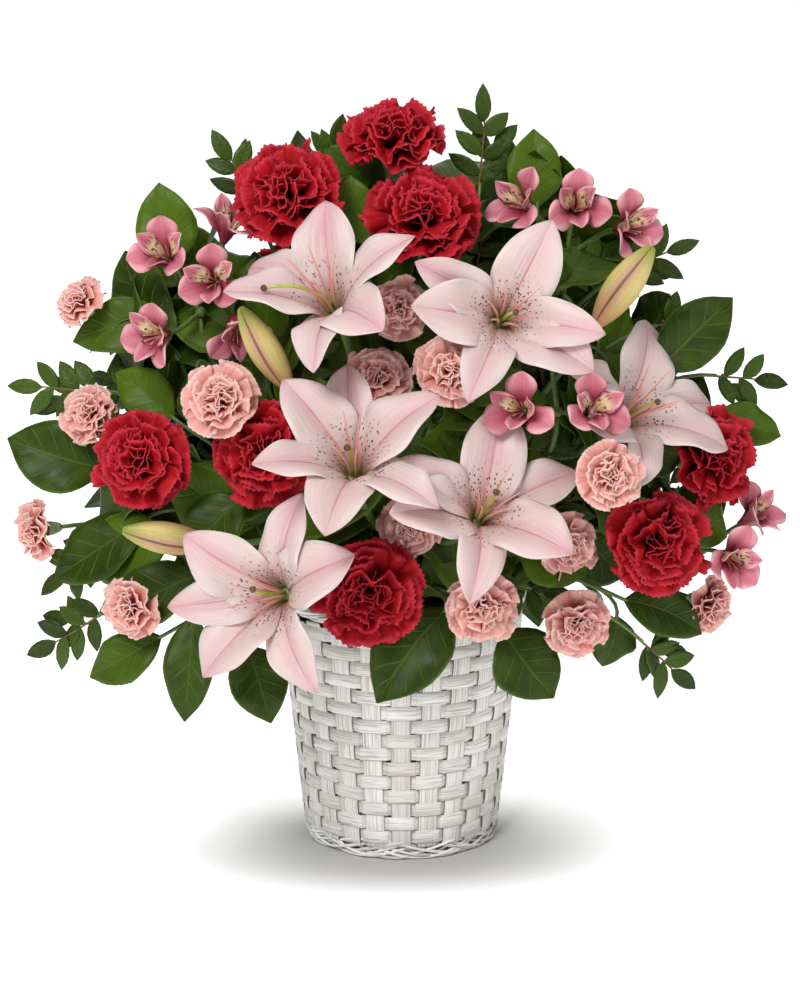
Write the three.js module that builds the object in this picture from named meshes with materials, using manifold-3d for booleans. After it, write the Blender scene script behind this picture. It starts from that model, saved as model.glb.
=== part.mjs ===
// Flower basket arrangement: a round woven basket, lined and packed with wet flower foam, holding pink
// lilies, red carnations, pink spray carnations, alstroemerias and mixed greenery.
// Millimetres, +Z up, the front facing -Y. The origin is the centre of the basket's base, on the table.
import * as THREE from 'three';
import { mergeVertices } from 'three/addons/utils/BufferGeometryUtils.js';
import Module from 'manifold-3d';

const wasm = await Module();
wasm.setup();

// ---- Driving dimensions ----
const clearance = 0.4; // between neighbouring pieces
const seatGap = 0.8; // between a flower and the stem that carries it
const basket = {
  height: 184,
  footRadius: 62.5,
  baseRadius: 74,
  rimRadius: 94,
  wall: 5,
  floor: 18,
  stakes: 26,
  rows: 15, // of woven strip
  firstRow: 13,
  lastRow: 181,
  relief: 1.3, // how far a strip stands out where it passes over a stake
};
const hoop = { footRadius: 6, rimRadius: 4.4, sides: 5, twists: 11, wave: 0.9 }; // the braided foot and rim
const liner = { wall: 1.6, top: 183, gap: 3 };
const foam = { top: 198, crown: 205, crownRadius: 45, edgeRadius: 80, segments: 18 };
const peg = { radius: 6, tip: 4.5, sides: 5, foot: 146, firstBranch: 212, step: 4 }; // a bundle's shared stem
const stemForm = { sides: 3, lift: 0.5, leave: 0.36, arrive: 0.3, bendEvery: 160 };
const stemRadius = { lily: 3.4, bud: 2.6, carnation: 2.4, spray: 1.9, alstroemeria: 2.2, leaf: 1.6 };

const lily = { // petals: lengths in millimetres, leans in degrees, the rest as shares of a petal's length
  length: 88,
  innerWidth: 46,
  outerWidth: 34,
  root: 4,
  depth: 16,
  startLean: 16,
  innerLean: 92,
  outerLean: 104,
  thickness: 1.6,
  throat: 0.04,
  joined: 0.26,
  outline: [[0.52, 1], [0.8, 0.7]],
};
const filament = { count: 3, length: 50, radius: 1.2, lean: 17, root: 3 };
const alstroemeria = {
  length: 35,
  innerWidth: 15,
  outerWidth: 25,
  root: 2.6,
  depth: 12,
  startLean: 10,
  innerLean: 58,
  outerLean: 88,
  thickness: 1.4,
  joined: 0.3,
  outline: [[0.74, 1]],
};
const petalForm = { growth: 0.8, fold: 0.24, steps: 8, pit: 2 };
const umbel = { radius: 4.5, stalk: 1.8, neck: 1.9 };
const bud = { sides: 9, lobe: 0.1, fullness: 0.75, rings: [0.06, 0.3, 0.6, 0.86] };
const carnationTeeth = 12;
const carnationTiers = [ // each frilled layer, as shares of the head's radius
  { edge: 1.0, height: -0.06, ruffle: 0.12 },
  { edge: 0.78, height: 0.24, ruffle: 0.13 },
  { edge: 0.42, height: 0.48, ruffle: 0.11 },
];
const sprayTeeth = 10;
const sprayTiers = [
  { edge: 1.0, height: -0.02, ruffle: 0.13 },
  { edge: 0.58, height: 0.38, ruffle: 0.14 },
];
const frill = { waist: 0.22, tuck: 0.86, crown: 0.5, waves: 3, waveLift: 0.6 };
const cup = { root: 0.42, length: 0.5, top: 0.24, bottom: 0.12, sides: 4 }; // shares of the head's radius
const leafForm = { thickness: 1.2, arch: 0.12, tilt: 22, outline: [[0.26, 0.9], [0.7, 0.84]], sunk: 3 };
const sprig = {
  leafLength: 31,
  leafWidth: 15,
  spacing: 22,
  spread: 48,
  rib: 1.4,
  droop: 0.006,
  tilt: 10,
};

// ---- Places: each bloom's eye, the way it faces (yaw from the front, pitch up), its turn and its size ----
const lilies = [ // petals: each one's turn from its even place, and its lean at the tip
  { name: 'lily_top_left', at: [-49.8, -120, 431], yaw: -26, pitch: 48, spin: 95,
    petals: [[9, 88], [5, 122], [-7, 70], [13, 103], [-7, 94], [1, 91]] },
  { name: 'lily_top_right', at: [72, -116, 420.5], yaw: 6, pitch: 20, spin: 65,
    petals: [[-1, 85], [25, 92], [-5, 79], [-1, 85], [17, 88], [-19, 78]] },
  { name: 'lily_middle', at: [-33.7, -168, 324.4], yaw: -7, pitch: 48, spin: 145,
    petals: [[-9, 76], [-1, 79], [-1, 97], [-1, 109], [7, 85], [13, 104]] },
  { name: 'lily_middle_right', at: [57, -160, 288.5], yaw: 16, pitch: 36, spin: 75,
    petals: [[1, 98], [17, 92], [-11, 95], [-3, 106], [-5, 76], [1, 118]] },
  { name: 'lily_low_left', at: [-88.7, -150, 227.5], yaw: -28, pitch: 12, spin: 135,
    petals: [[13, 86], [1, 84], [-13, 86], [-11, 118], [15, 106], [-3, 109]] },
  { name: 'lily_right', at: [163.4, -84, 343], yaw: 44, pitch: 36, spin: 68,
    petals: [[-13, 100], [23, 94], [0, 92], [-13, 98], [11, 96], [-13, 112]] },
];
const buds = [
  { name: 'lily_bud_left', base: [-80, -96, 366], tip: [-114, -118, 429], radius: 12.5 },
  { name: 'lily_bud_right', base: [139, -92, 411], tip: [179, -92, 469], radius: 13.5 },
  { name: 'lily_bud_low', base: [-139, -106, 254], tip: [-201, -118, 267], radius: 12.5 },
];
const carnations = [
  { name: 'carnation_top', at: [-5, -20, 541], yaw: 0, pitch: 68, radius: 39 },
  { name: 'carnation_top_left', at: [-84, -50, 503], yaw: -20, pitch: 45, radius: 41 },
  { name: 'carnation_top_front', at: [16, -62, 488], yaw: 5, pitch: 48, radius: 44 },
  { name: 'carnation_left', at: [-190, -92, 312], yaw: -25, pitch: 8, radius: 37 },
  { name: 'carnation_mid_left', at: [-100, -104, 321], yaw: -12, pitch: 12, radius: 38 },
  { name: 'carnation_low', at: [-23, -130, 222], yaw: 4, pitch: 0, radius: 40 },
  { name: 'carnation_low_right', at: [187, -104, 255], yaw: 25, pitch: 5, radius: 39 },
  { name: 'carnation_right', at: [232, -52, 307], yaw: 48, pitch: 12, radius: 39 },
  { name: 'carnation_back_left', at: [-90, 92, 420], yaw: -150, pitch: 36, radius: 39 },
  { name: 'carnation_back_right', at: [92, 104, 340], yaw: 145, pitch: 18, radius: 39 },
];
const sprayCarnations = [
  { name: 'spray_carnation_01', at: [-240, -18, 418], yaw: -50, pitch: 38, radius: 21 },
  { name: 'spray_carnation_02', at: [-232, -46, 338], yaw: -40, pitch: 22, radius: 25 },
  { name: 'spray_carnation_03', at: [-130, -112, 362], yaw: -10, pitch: 30, radius: 28 },
  { name: 'spray_carnation_04', at: [-1, -92, 425], yaw: 5, pitch: 22, radius: 23 },
  { name: 'spray_carnation_05', at: [-17, -112, 377], yaw: -6, pitch: 30, radius: 26 },
  { name: 'spray_carnation_06', at: [34, -136, 387], yaw: 8, pitch: 20, radius: 25 },
  { name: 'spray_carnation_07', at: [-276, -28, 245], yaw: -58, pitch: 0, radius: 23 },
  { name: 'spray_carnation_08', at: [-199, -95, 202], yaw: -35, pitch: -8, radius: 24 },
  { name: 'spray_carnation_09', at: [6, -112, 268], yaw: -10, pitch: 0, radius: 24 },
  { name: 'spray_carnation_10', at: [57, -132, 213], yaw: 5, pitch: -6, radius: 28 },
  { name: 'spray_carnation_11', at: [127, -122, 197], yaw: 15, pitch: -8, radius: 25 },
  { name: 'spray_carnation_12', at: [146, -174, 320], yaw: 14, pitch: 8, radius: 24 },
  { name: 'spray_carnation_13', at: [122, -106, 252], yaw: 25, pitch: 0, radius: 24 },
  { name: 'spray_carnation_14', at: [232, -56, 194], yaw: 50, pitch: -8, radius: 23 },
  { name: 'spray_carnation_15', at: [-172, 70, 300], yaw: -118, pitch: 14, radius: 25 },
  { name: 'spray_carnation_16', at: [176, 72, 262], yaw: 120, pitch: 8, radius: 25 },
  { name: 'spray_carnation_17', at: [14, 112, 392], yaw: 176, pitch: 40, radius: 25 },
];
const alstroemerias = [ // blooms on short stalks from one point
  {
    name: 'alstroemeria_far_left',
    at: [-148, -34, 412],
    blooms: [
      { at: [-172, -50, 456], yaw: -22, pitch: 30, spin: 270 },
      { at: [-177, -72, 401], yaw: -38, pitch: 0, spin: 250 },
    ],
  },
  {
    name: 'alstroemeria_left',
    at: [-118, -30, 424],
    blooms: [
      { at: [-128, -36, 474], yaw: 30, pitch: 62, spin: 220 },
      { at: [-136, -70, 440], yaw: -10, pitch: 10, spin: 270 },
      { at: [-118, -80, 408], yaw: 20, pitch: -35, spin: 280 },
    ],
  },
  {
    name: 'alstroemeria_top_right',
    at: [122, -22, 452],
    blooms: [
      { at: [88, -42, 492], yaw: -40, pitch: 25, spin: 260 },
      { at: [126, -58, 492], yaw: 6, pitch: 24, spin: 270 },
      { at: [164, -46, 476], yaw: 42, pitch: 12, spin: 280 },
    ],
  },
  {
    name: 'alstroemeria_middle',
    at: [112, -98, 350],
    blooms: [
      { at: [84, -150, 361], yaw: -20, pitch: 14, spin: 270 },
      { at: [134, -150, 361], yaw: 18, pitch: 20, spin: 270 },
      { at: [108, -106, 396], yaw: 0, pitch: 66, spin: 210 },
    ],
  },
  {
    name: 'alstroemeria_right',
    at: [226, -34, 232],
    blooms: [
      { at: [262, -40, 258], yaw: 58, pitch: 34, spin: 270 },
      { at: [242, -70, 234], yaw: 24, pitch: -4, spin: 250 },
    ],
  },
  {
    name: 'alstroemeria_back',
    at: [-30, 92, 296],
    blooms: [
      { at: [-60, 128, 312], yaw: -165, pitch: 20, spin: 270 },
      { at: [-8, 134, 290], yaw: 172, pitch: 4, spin: 240 },
    ],
  },
];

// Greenery, by the bundle of stems that it grows from in the foam, with the flowers that the bundle carries.
// A broad leaf is its base, tip, width and the yaw of its face. A sprig is the point where its small leaves
// start, its tip and the yaw of its plane.
const bundles = [
  {
    name: 'greens_low_left',
    peg: [-40, -46],
    carries: ['lily_low_left', 'spray_carnation_08', 'lily_bud_low'],
    leaves: [
      [[-152, -96, 196], [-159, -112, 121], 38, -10],
      [[-178, -78, 176], [-233, -62, 140], 38, -20],
      [[-112, -110, 178], [-95, -128, 125], 43, -5],
      [[-148, -84, 226], [-225, -60, 190], 46, -20],
    ],
    sprigs: [[[-225, -52, 186], [-283, -34, 147], -10]],
  },
  {
    name: 'greens_low',
    peg: [0, -62],
    carries: ['carnation_low', 'spray_carnation_10', 'spray_carnation_09'],
    leaves: [
      [[32, -112, 206], [-18, -140, 144], 56, 0],
      [[74, -112, 190], [111, -118, 141], 52, 12],
    ],
    sprigs: [],
  },
  {
    name: 'greens_low_right',
    peg: [42, -50],
    carries: ['spray_carnation_11', 'carnation_low_right', 'spray_carnation_13', 'spray_carnation_14',
      'spray_carnation_12'],
    leaves: [
      [[84, -100, 250], [136, -96, 229], 40, 20],
      [[164, -84, 206], [223, -70, 176], 38, 25],
      [[160, -72, 190], [150, -66, 150], 36, 25],
      [[206, -62, 268], [242, -50, 245], 40, 30],
    ],
    sprigs: [[[176, -84, 176], [219, -68, 130], 20]],
  },
  {
    name: 'greens_middle',
    peg: [-8, -28],
    carries: ['lily_middle', 'lily_middle_right'],
    leaves: [
      [[-50, -88, 300], [-66, -96, 254], 44, -8],
    ],
    sprigs: [],
  },
  {
    name: 'greens_left',
    peg: [-68, -16],
    carries: ['carnation_mid_left', 'spray_carnation_03', 'alstroemeria_far_left', 'carnation_left',
      'spray_carnation_02', 'spray_carnation_07', 'spray_carnation_01'],
    leaves: [
      [[-116, -84, 284], [-159, -85, 236], 46, -20],
      [[-222, -30, 292], [-295, -20, 314], 54, -12],
      [[-172, -24, 402], [-245, -12, 386], 42, -15],
      [[-190, -50, 260], [-262, -34, 208], 48, -30],
      [[-168, -52, 336], [-212, -30, 366], 36, -20],
      [[-150, -52, 372], [-140, -74, 330], 36, -20],
    ],
    sprigs: [
      [[-228, -24, 352], [-296, -10, 352], -8],
      [[-226, -44, 236], [-272, -34, 196], -18],
    ],
  },
  {
    name: 'greens_right',
    peg: [66, -8],
    carries: ['carnation_right', 'alstroemeria_right', 'lily_right'],
    leaves: [
      [[188, -52, 372], [244, -30, 422], 45, 18],
      [[236, -22, 334], [285, -12, 314], 32, 20],
      [[170, -60, 300], [206, -66, 330], 38, 30],
    ],
    sprigs: [[[232, -18, 362], [291, -4, 352], 12]],
  },
  {
    name: 'greens_top_left',
    peg: [-36, 6],
    carries: ['carnation_top_left', 'lily_top_left', 'lily_bud_left', 'alstroemeria_left'],
    leaves: [
      [[-170, -6, 442], [-180, 2, 503], 46, -8],
      [[-100, -60, 392], [-92, -66, 450], 34, -8],
    ],
    sprigs: [
      [[-112, -6, 492], [-138, 0, 545], -5],
      [[-52, 6, 510], [-44, 0, 556], 5],
    ],
  },
  {
    name: 'greens_top',
    peg: [0, 2],
    carries: ['carnation_top', 'carnation_top_front', 'spray_carnation_04', 'spray_carnation_05',
      'spray_carnation_06'],
    leaves: [
      [[-12, 4, 494], [-58, 4, 530], 36, -5],
      [[-28, -30, 462], [-38, -26, 512], 36, -5],
    ],
    sprigs: [[[58, -2, 500], [62, 0, 577], 5]],
  },
  {
    name: 'greens_top_right',
    peg: [36, 14],
    carries: ['lily_top_right', 'lily_bud_right', 'alstroemeria_top_right', 'alstroemeria_middle'],
    leaves: [
      [[101, 0, 486], [98, 10, 542], 41, 6],
      [[118, -52, 430], [86, -60, 462], 36, 10],
      [[150, -40, 380], [172, -50, 350], 36, 25],
    ],
    sprigs: [
      [[168, -12, 440], [222, -6, 464], 12],
      [[186, -26, 400], [232, -12, 410], 20],
    ],
  },
  {
    name: 'greens_back_left',
    peg: [-44, 42],
    carries: ['carnation_back_left', 'spray_carnation_15'],
    leaves: [
      [[-112, 50, 330], [-204, 56, 366], 66, -140],
      [[-100, 76, 268], [-152, 96, 196], 64, -145],
      [[-150, 30, 262], [-244, 26, 250], 62, -112],
      [[-56, 84, 430], [-62, 84, 512], 58, -168],
      [[-128, 40, 410], [-190, 36, 470], 60, -130],
      [[-92, 76, 206], [-124, 92, 140], 56, -140],
      [[-96, 20, 296], [-142, 22, 376], 68, -96],
      [[-96, 16, 222], [-156, 22, 170], 66, -96],
      [[-60, 36, 462], [-78, 40, 538], 58, -120],
    ],
    sprigs: [[[-176, 34, 318], [-254, 44, 322], -140]],
  },
  {
    name: 'greens_back_right',
    peg: [44, 42],
    carries: ['carnation_back_right', 'spray_carnation_16'],
    leaves: [
      [[112, 52, 392], [186, 52, 448], 64, 140],
      [[140, 46, 312], [228, 48, 338], 64, 125],
      [[108, 78, 250], [160, 96, 184], 64, 145],
      [[52, 88, 416], [62, 84, 498], 60, 165],
      [[160, 30, 238], [246, 26, 222], 60, 112],
      [[80, 80, 204], [110, 94, 136], 56, 150],
      [[100, 20, 296], [146, 22, 376], 68, 96],
      [[100, 16, 222], [158, 22, 170], 66, 96],
      [[60, 36, 460], [80, 40, 536], 58, 120],
    ],
    sprigs: [[[170, 34, 372], [242, 44, 388], 140]],
  },
  {
    name: 'greens_back',
    peg: [0, 58],
    carries: ['spray_carnation_17', 'alstroemeria_back'],
    leaves: [
      [[34, 90, 256], [54, 118, 180], 64, 170],
      [[-40, 90, 240], [-50, 118, 168], 62, -170],
      [[10, 86, 318], [52, 108, 376], 60, 175],
      [[-4, 66, 430], [2, 70, 514], 60, 180],
      [[2, 108, 212], [6, 126, 142], 56, 180],
      [[-30, 84, 340], [-64, 108, 386], 58, -170],
    ],
    sprigs: [],
  },
];

// ---- Closed geometries from points ----
const vector = (place) => new THREE.Vector3(...place);
const radians = THREE.MathUtils.degToRad;
const up = new THREE.Vector3(0, 0, 1);

function closedGeometry(points, triangles) {
  return new THREE.BufferGeometry().setFromPoints(points).setIndex(triangles.flat());
}

// Rings of points from the bottom up, counter-clockwise from above, closed by a point at each end.
function stackOfRings(bottom, rings, top) {
  const sides = rings[0].length;
  const points = [bottom, ...rings.flat(), top];
  const corner = (ring, side) => 1 + ring * sides + (side % sides);
  const triangles = [];
  for (let side = 0; side < sides; side += 1) {
    triangles.push([0, corner(0, side + 1), corner(0, side)]);
    for (let ring = 0; ring + 1 < rings.length; ring += 1) {
      triangles.push([corner(ring, side), corner(ring, side + 1), corner(ring + 1, side + 1)]);
      triangles.push([corner(ring, side), corner(ring + 1, side + 1), corner(ring + 1, side)]);
    }
    const last = rings.length - 1;
    triangles.push([corner(last, side), corner(last, side + 1), points.length - 1]);
  }
  return closedGeometry(points, triangles);
}

// A thin closed sheet from knots of { point, normal }, the triangles of its upper face and the loop round
// its edge. Both faces are split into triangles alike.
function thickSheet(knots, upper, loop, thickness) {
  const shifted = (share) => knots.map(
    ({ point, normal }) => point.clone().addScaledVector(normal, share * thickness));
  const below = (knot) => knot + knots.length;
  const lower = upper.map(([a, b, c]) => [below(a), below(c), below(b)]);
  const edge = loop.flatMap((knot, i) => {
    const next = loop[(i + 1) % loop.length];
    return [[next, knot, below(knot)], [next, below(knot), below(next)]];
  });
  return closedGeometry([...shifted(0.5), ...shifted(-0.5)], [...upper, ...lower, ...edge]);
}

// Points evenly round a circle.
function aroundCircle(count, pointAt) {
  return Array.from({ length: count }, (_, i) => pointAt((i / count) * 2 * Math.PI, i));
}

// A stem along a curve.
function stem(curve, radius, steps) {
  const outline = aroundCircle(stemForm.sides, (angle) => new THREE.Vector2(
    radius * Math.cos(angle), radius * Math.sin(angle)));
  return new THREE.ExtrudeGeometry(new THREE.Shape(outline), { steps, extrudePath: curve });
}

// A stem's curve: it leaves upwards and outwards and arrives along a given way.
function stemCurve(from, to, arriving, lift) {
  const reach = from.distanceTo(to);
  const leaving = to.clone().sub(from).normalize().addScaledVector(up, lift).normalize();
  const first = from.clone().addScaledVector(leaving, reach * stemForm.leave);
  const second = to.clone().addScaledVector(arriving, -reach * stemForm.arrive);
  return new THREE.CubicBezierCurve3(from, first, second, to);
}

// The way that a bloom faces, and the frame whose +Z is that way and whose origin is the bloom's eye.
function facing({ yaw, pitch }) {
  const level = Math.cos(radians(pitch));
  const [side, front] = [Math.sin(radians(yaw)) * level, Math.cos(radians(yaw)) * level];
  return new THREE.Vector3(side, -front, Math.sin(radians(pitch)));
}
function frameOf({ at, yaw, pitch, spin = 0 }) {
  const out = facing({ yaw, pitch });
  const right = new THREE.Vector3(Math.cos(radians(yaw)), Math.sin(radians(yaw)), 0);
  return new THREE.Matrix4().makeBasis(right, new THREE.Vector3().crossVectors(out, right), out)
    .setPosition(...at).multiply(new THREE.Matrix4().makeRotationZ(radians(spin)));
}

// ---- Blooms ----

// Six petals, by turns inner and outer, that grow from one funnel and part above it, leaning out ever more.
function sixPetals(form, petals) {
  const knots = [{ point: new THREE.Vector3(0, 0, -form.depth - petalForm.pit), normal: up }];
  const upper = [];
  const loop = [];
  const petalAt = (petal) => petals?.[petal % 6] ?? [0, petal % 2 ? form.outerLean : form.innerLean];
  const knotAt = (share, place, sideways) => { // place: 0 to 6 round the funnel, whole at a petal's middle
    const [turn, endLean] = [0, 1].map(
      (part) => (petalAt(Math.floor(place))[part] + petalAt(Math.ceil(place))[part]) / 2);
    const azimuth = radians(place * 60 + turn);
    const growth = endLean - form.startLean;
    const leanAt = (where) => radians(form.startLean + growth * where ** petalForm.growth);
    const outward = new THREE.Vector3(Math.cos(azimuth), Math.sin(azimuth), 0);
    const point = outward.clone().multiplyScalar(form.root).setZ(-form.depth);
    const step = (share * form.length) / petalForm.steps;
    for (let i = 0; i < petalForm.steps; i += 1) {
      const lean = leanAt(((i + 0.5) / petalForm.steps) * share);
      point.addScaledVector(outward, Math.sin(lean) * step).addScaledVector(up, Math.cos(lean) * step);
    }
    const lean = leanAt(share);
    const normal = outward.clone().multiplyScalar(-Math.cos(lean)).addScaledVector(up, Math.sin(lean));
    point.addScaledVector(new THREE.Vector3(-outward.y, outward.x, 0), sideways);
    point.addScaledVector(normal, petalForm.fold * Math.abs(sideways));
    return knots.push({ point, normal }) - 1;
  };
  const high = aroundCircle(12, (_, i) => knotAt(form.joined, i / 2, 0));
  const low = form.throat ? aroundCircle(6, (_, i) => knotAt(form.throat, i, 0)) : [];
  for (let i = 0; i < 6; i += 1) {
    const [first, middle, last] = [high[2 * i], high[2 * i + 1], high[(2 * i + 2) % 12]];
    const [here, next] = [low[i], low[(i + 1) % 6]];
    if (form.throat) {
      upper.push([0, here, next], [here, middle, next], [here, first, middle], [middle, last, next]);
    } else {
      upper.push([0, first, middle], [0, middle, last]);
    }
  }
  for (let petal = 0; petal < 6; petal += 1) {
    const half = (petal % 2 ? form.outerWidth : form.innerWidth) / 2;
    const rows = form.outline.map(([share, girth]) => [-1, 0, 1].map(
      (side) => knotAt(share, petal, side * girth * half)));
    rows.unshift([high[(petal * 2 + 11) % 12], high[petal * 2], high[petal * 2 + 1]]);
    const tip = knotAt(1, petal, 0);
    rows.forEach((row, i) => {
      const beyond = rows[i + 1];
      for (const side of [0, 1]) {
        const [left, right] = [row[side], row[side + 1]];
        if (beyond) upper.push([left, beyond[side + 1], right], [left, beyond[side], beyond[side + 1]]);
        else upper.push([left, tip, right]);
      }
    });
    loop.push(...rows.map((row) => row[0]), tip, ...rows.slice(1).reverse().map((row) => row[2]));
  }
  return thickSheet(knots, upper, loop, form.thickness);
}

function lilyBloom(place) {
  const { count, length, radius, lean, root } = filament;
  const filaments = aroundCircle(count, (angle) => new THREE.ConeGeometry(radius, length, 3)
    .translate(0, length / 2, 0).rotateX(Math.PI / 2).rotateY(radians(lean))
    .translate(root, 0, lily.thickness / 2 - lily.depth).rotateZ(angle + Math.PI / 6));
  return [sixPetals(lily, place.petals), ...filaments].map((part) => part.applyMatrix4(frameOf(place)));
}

// Blooms on short stalks that meet in one knob.
function alstroemeriaHead({ at, blooms }) {
  const knob = new THREE.OctahedronGeometry(umbel.radius).translate(...at);
  return [knob, ...blooms.flatMap((bloom) => {
    const neck = vector(bloom.at).addScaledVector(facing(bloom), -alstroemeria.depth - umbel.neck);
    const stalk = stem(stemCurve(vector(at), neck, facing(bloom), 0), umbel.stalk, 2);
    return [sixPetals(alstroemeria).applyMatrix4(frameOf(bloom)), stalk];
  })];
}

// A frilled head: layers that flare to a toothed, ruffled edge and tuck in again, up to the crown.
function frilledHead(bloom, tiers, teeth) {
  const { radius } = bloom;
  const ring = (share, height, ruffle, layer) => aroundCircle(teeth, (start, i) => {
    const angle = start + ((layer % 2) * Math.PI) / teeth;
    const tooth = i % 2 ? 0.5 : -0.5;
    const out = share * radius * (1 + ruffle * tooth);
    const wave = frill.waveLift * Math.sin(frill.waves * angle + 2 * layer);
    const lift = radius * (height + ruffle * (tooth + wave));
    return new THREE.Vector3(out * Math.cos(angle), out * Math.sin(angle), lift);
  });
  const rings = [ring(frill.waist, -cup.root, 0, 0)];
  tiers.forEach((tier, layer) => {
    rings.push(ring(tier.edge, tier.height, tier.ruffle, layer));
    const next = tiers[layer + 1] ?? { edge: tier.edge * frill.crown, height: tier.height };
    rings.push(ring(next.edge * frill.tuck, (tier.height + next.height) / 2, 0, layer));
  });
  const bottom = new THREE.Vector3(0, 0, -cup.root * radius);
  const crown = new THREE.Vector3(0, 0, tiers[tiers.length - 1].height * radius);
  return [stackOfRings(bottom, rings, crown).applyMatrix4(frameOf(bloom))];
}

// A spindle with three ridges.
function lilyBud({ base, tip, radius }) {
  const along = vector(tip).sub(vector(base));
  const length = along.length();
  const rings = bud.rings.map((share) => aroundCircle(bud.sides, (angle) => {
    const swell = Math.sin(Math.PI * (0.06 + 0.9 * share)) ** bud.fullness;
    const girth = radius * swell * (1 + bud.lobe * Math.cos(3 * angle));
    return new THREE.Vector3(girth * Math.cos(angle), girth * Math.sin(angle), share * length);
  }));
  const swing = new THREE.Quaternion().setFromUnitVectors(up, along.normalize());
  const solid = stackOfRings(new THREE.Vector3(), rings, new THREE.Vector3(0, 0, length));
  return [solid.applyQuaternion(swing).translate(...base)];
}

// ---- Greenery ----

// A pointed oval leaf between two points, arched along its rib, its face turned to a yaw.
function broadLeaf([base, tip, width, yaw]) {
  const along = vector(tip).sub(vector(base));
  const length = along.length();
  along.normalize();
  const face = facing({ yaw, pitch: leafForm.tilt });
  const normal = face.clone().addScaledVector(along, -face.dot(along)).normalize();
  const across = new THREE.Vector3().crossVectors(along, normal);
  const knots = [];
  const knotAt = (share, sideways) => knots.push({
    point: vector(base).addScaledVector(along, share * length).addScaledVector(across, sideways)
      .addScaledVector(normal, 4 * leafForm.arch * share * (1 - share) * length),
    normal,
  }) - 1;
  const [start, end] = [knotAt(0, 0), knotAt(1, 0)];
  const [near, far] = leafForm.outline.map(
    ([share, girth]) => [-1, 1].map((side) => knotAt(share, (side * girth * width) / 2)));
  const upper = [
    [start, near[1], near[0]], [near[0], near[1], far[1]], [near[0], far[1], far[0]], [far[0], far[1], end],
  ];
  return thickSheet(knots, upper, [start, near[1], far[1], end, far[0], near[0]], leafForm.thickness);
}

// A leafy sprig: small leaves in pairs along a rib, with one at its tip, cut from one thin arched blade.
function leafySprig([start, tip, yaw]) {
  const along = vector(tip).sub(vector(start));
  const reach = along.length();
  along.normalize();
  const face = facing({ yaw, pitch: sprig.tilt });
  const normal = face.addScaledVector(along, -face.dot(along)).normalize();
  const { leafLength: long, rib, spacing } = sprig;
  const half = sprig.leafWidth / 2;
  const kite = [[0, -rib], [0.42 * long, -half], [long, 0], [0.5 * long, half], [0, rib]];
  const smallLeaf = (root, swing) => kite.map(
    ([x, y]) => new THREE.Vector2(x, y).rotateAround(new THREE.Vector2(), swing).add(root));
  const last = reach - long;
  const roots = [];
  for (let y = last - 0.6 * spacing; y >= 0; y -= spacing) roots.unshift(y);
  const sideLeaf = (side, y) => smallLeaf(new THREE.Vector2(side * rib, y), radians(90 - side * sprig.spread));
  const outline = [
    new THREE.Vector2(rib, -leafForm.sunk),
    ...roots.flatMap((y) => sideLeaf(1, y)),
    ...smallLeaf(new THREE.Vector2(0, last), Math.PI / 2),
    ...roots.reverse().flatMap((y) => sideLeaf(-1, y)),
    new THREE.Vector2(-rib, -leafForm.sunk),
  ];
  const blade = new THREE.ExtrudeGeometry(
    new THREE.Shape(outline), { depth: leafForm.thickness, bevelEnabled: false });
  const place = blade.attributes.position;
  for (let i = 0; i < place.count; i += 1) {
    place.setZ(i, place.getZ(i) - sprig.droop * place.getX(i) ** 2);
  }
  const across = new THREE.Vector3().crossVectors(along, normal);
  return blade.applyMatrix4(new THREE.Matrix4().makeBasis(across, along, normal).setPosition(...start));
}

// Where each stem of a bundle ends, which way it arrives there and its radius.
function stemEnds({ carries, leaves, sprigs }) {
  const endAt = (place, arriving, before, radius, flower) => (
    { to: vector(place).addScaledVector(arriving, -before), arriving, radius, flower });
  const flowerEnds = carries.map((name) => {
    const flower = flowerCalled.get(name);
    const { kind, at, base, tip } = flower;
    if (kind === 'alstroemeria') return endAt(at, up, umbel.radius + seatGap, stemRadius[kind]);
    if (kind === 'bud') {
      return endAt(base, vector(tip).sub(vector(base)).normalize(), seatGap, stemRadius[kind]);
    }
    if (kind === 'lily') {
      return endAt(at, facing(flower), lily.depth + petalForm.pit + 1 + seatGap, stemRadius[kind]);
    }
    return endAt(at, facing(flower), (cup.root + cup.length) * flower.radius, stemRadius[kind], flower);
  });
  const leafEnds = [...leaves, ...sprigs].map(
    ([base, tip]) => endAt(base, vector(tip).sub(vector(base)).normalize(), -leafForm.sunk, stemRadius.leaf));
  return [...flowerEnds, ...leafEnds];
}

// The stems of one bundle branch from one that is pushed into the foam, the lowest first.
function bundleStems(bundle) {
  const [x, y] = bundle.peg;
  const ends = stemEnds(bundle).sort((a, b) => a.to.z - b.to.z);
  const top = peg.firstBranch + peg.step * (ends.length - 1) + peg.radius;
  const parts = [new THREE.CylinderGeometry(peg.radius, peg.tip, top - peg.foot, peg.sides)
    .rotateX(Math.PI / 2).translate(x, y, (top + peg.foot) / 2)];
  ends.forEach(({ to, arriving, radius, flower }, i) => {
    const from = new THREE.Vector3(x, y, peg.firstBranch + peg.step * i);
    const steps = 1 + Math.round(from.distanceTo(to) / stemForm.bendEvery);
    parts.push(stem(stemCurve(from, to, arriving, stemForm.lift), radius, steps));
    if (flower) parts.push(flowerCup(flower));
  });
  return parts;
}

// The green cup that a carnation sits in.
function flowerCup(flower) {
  const length = cup.length * flower.radius;
  const middle = -cup.root * flower.radius - seatGap - length / 2;
  const [top, bottom] = [cup.top * flower.radius, cup.bottom * flower.radius];
  return new THREE.CylinderGeometry(top, bottom, length, cup.sides)
    .rotateX(Math.PI / 2).translate(0, 0, middle).applyMatrix4(frameOf(flower));
}

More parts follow.
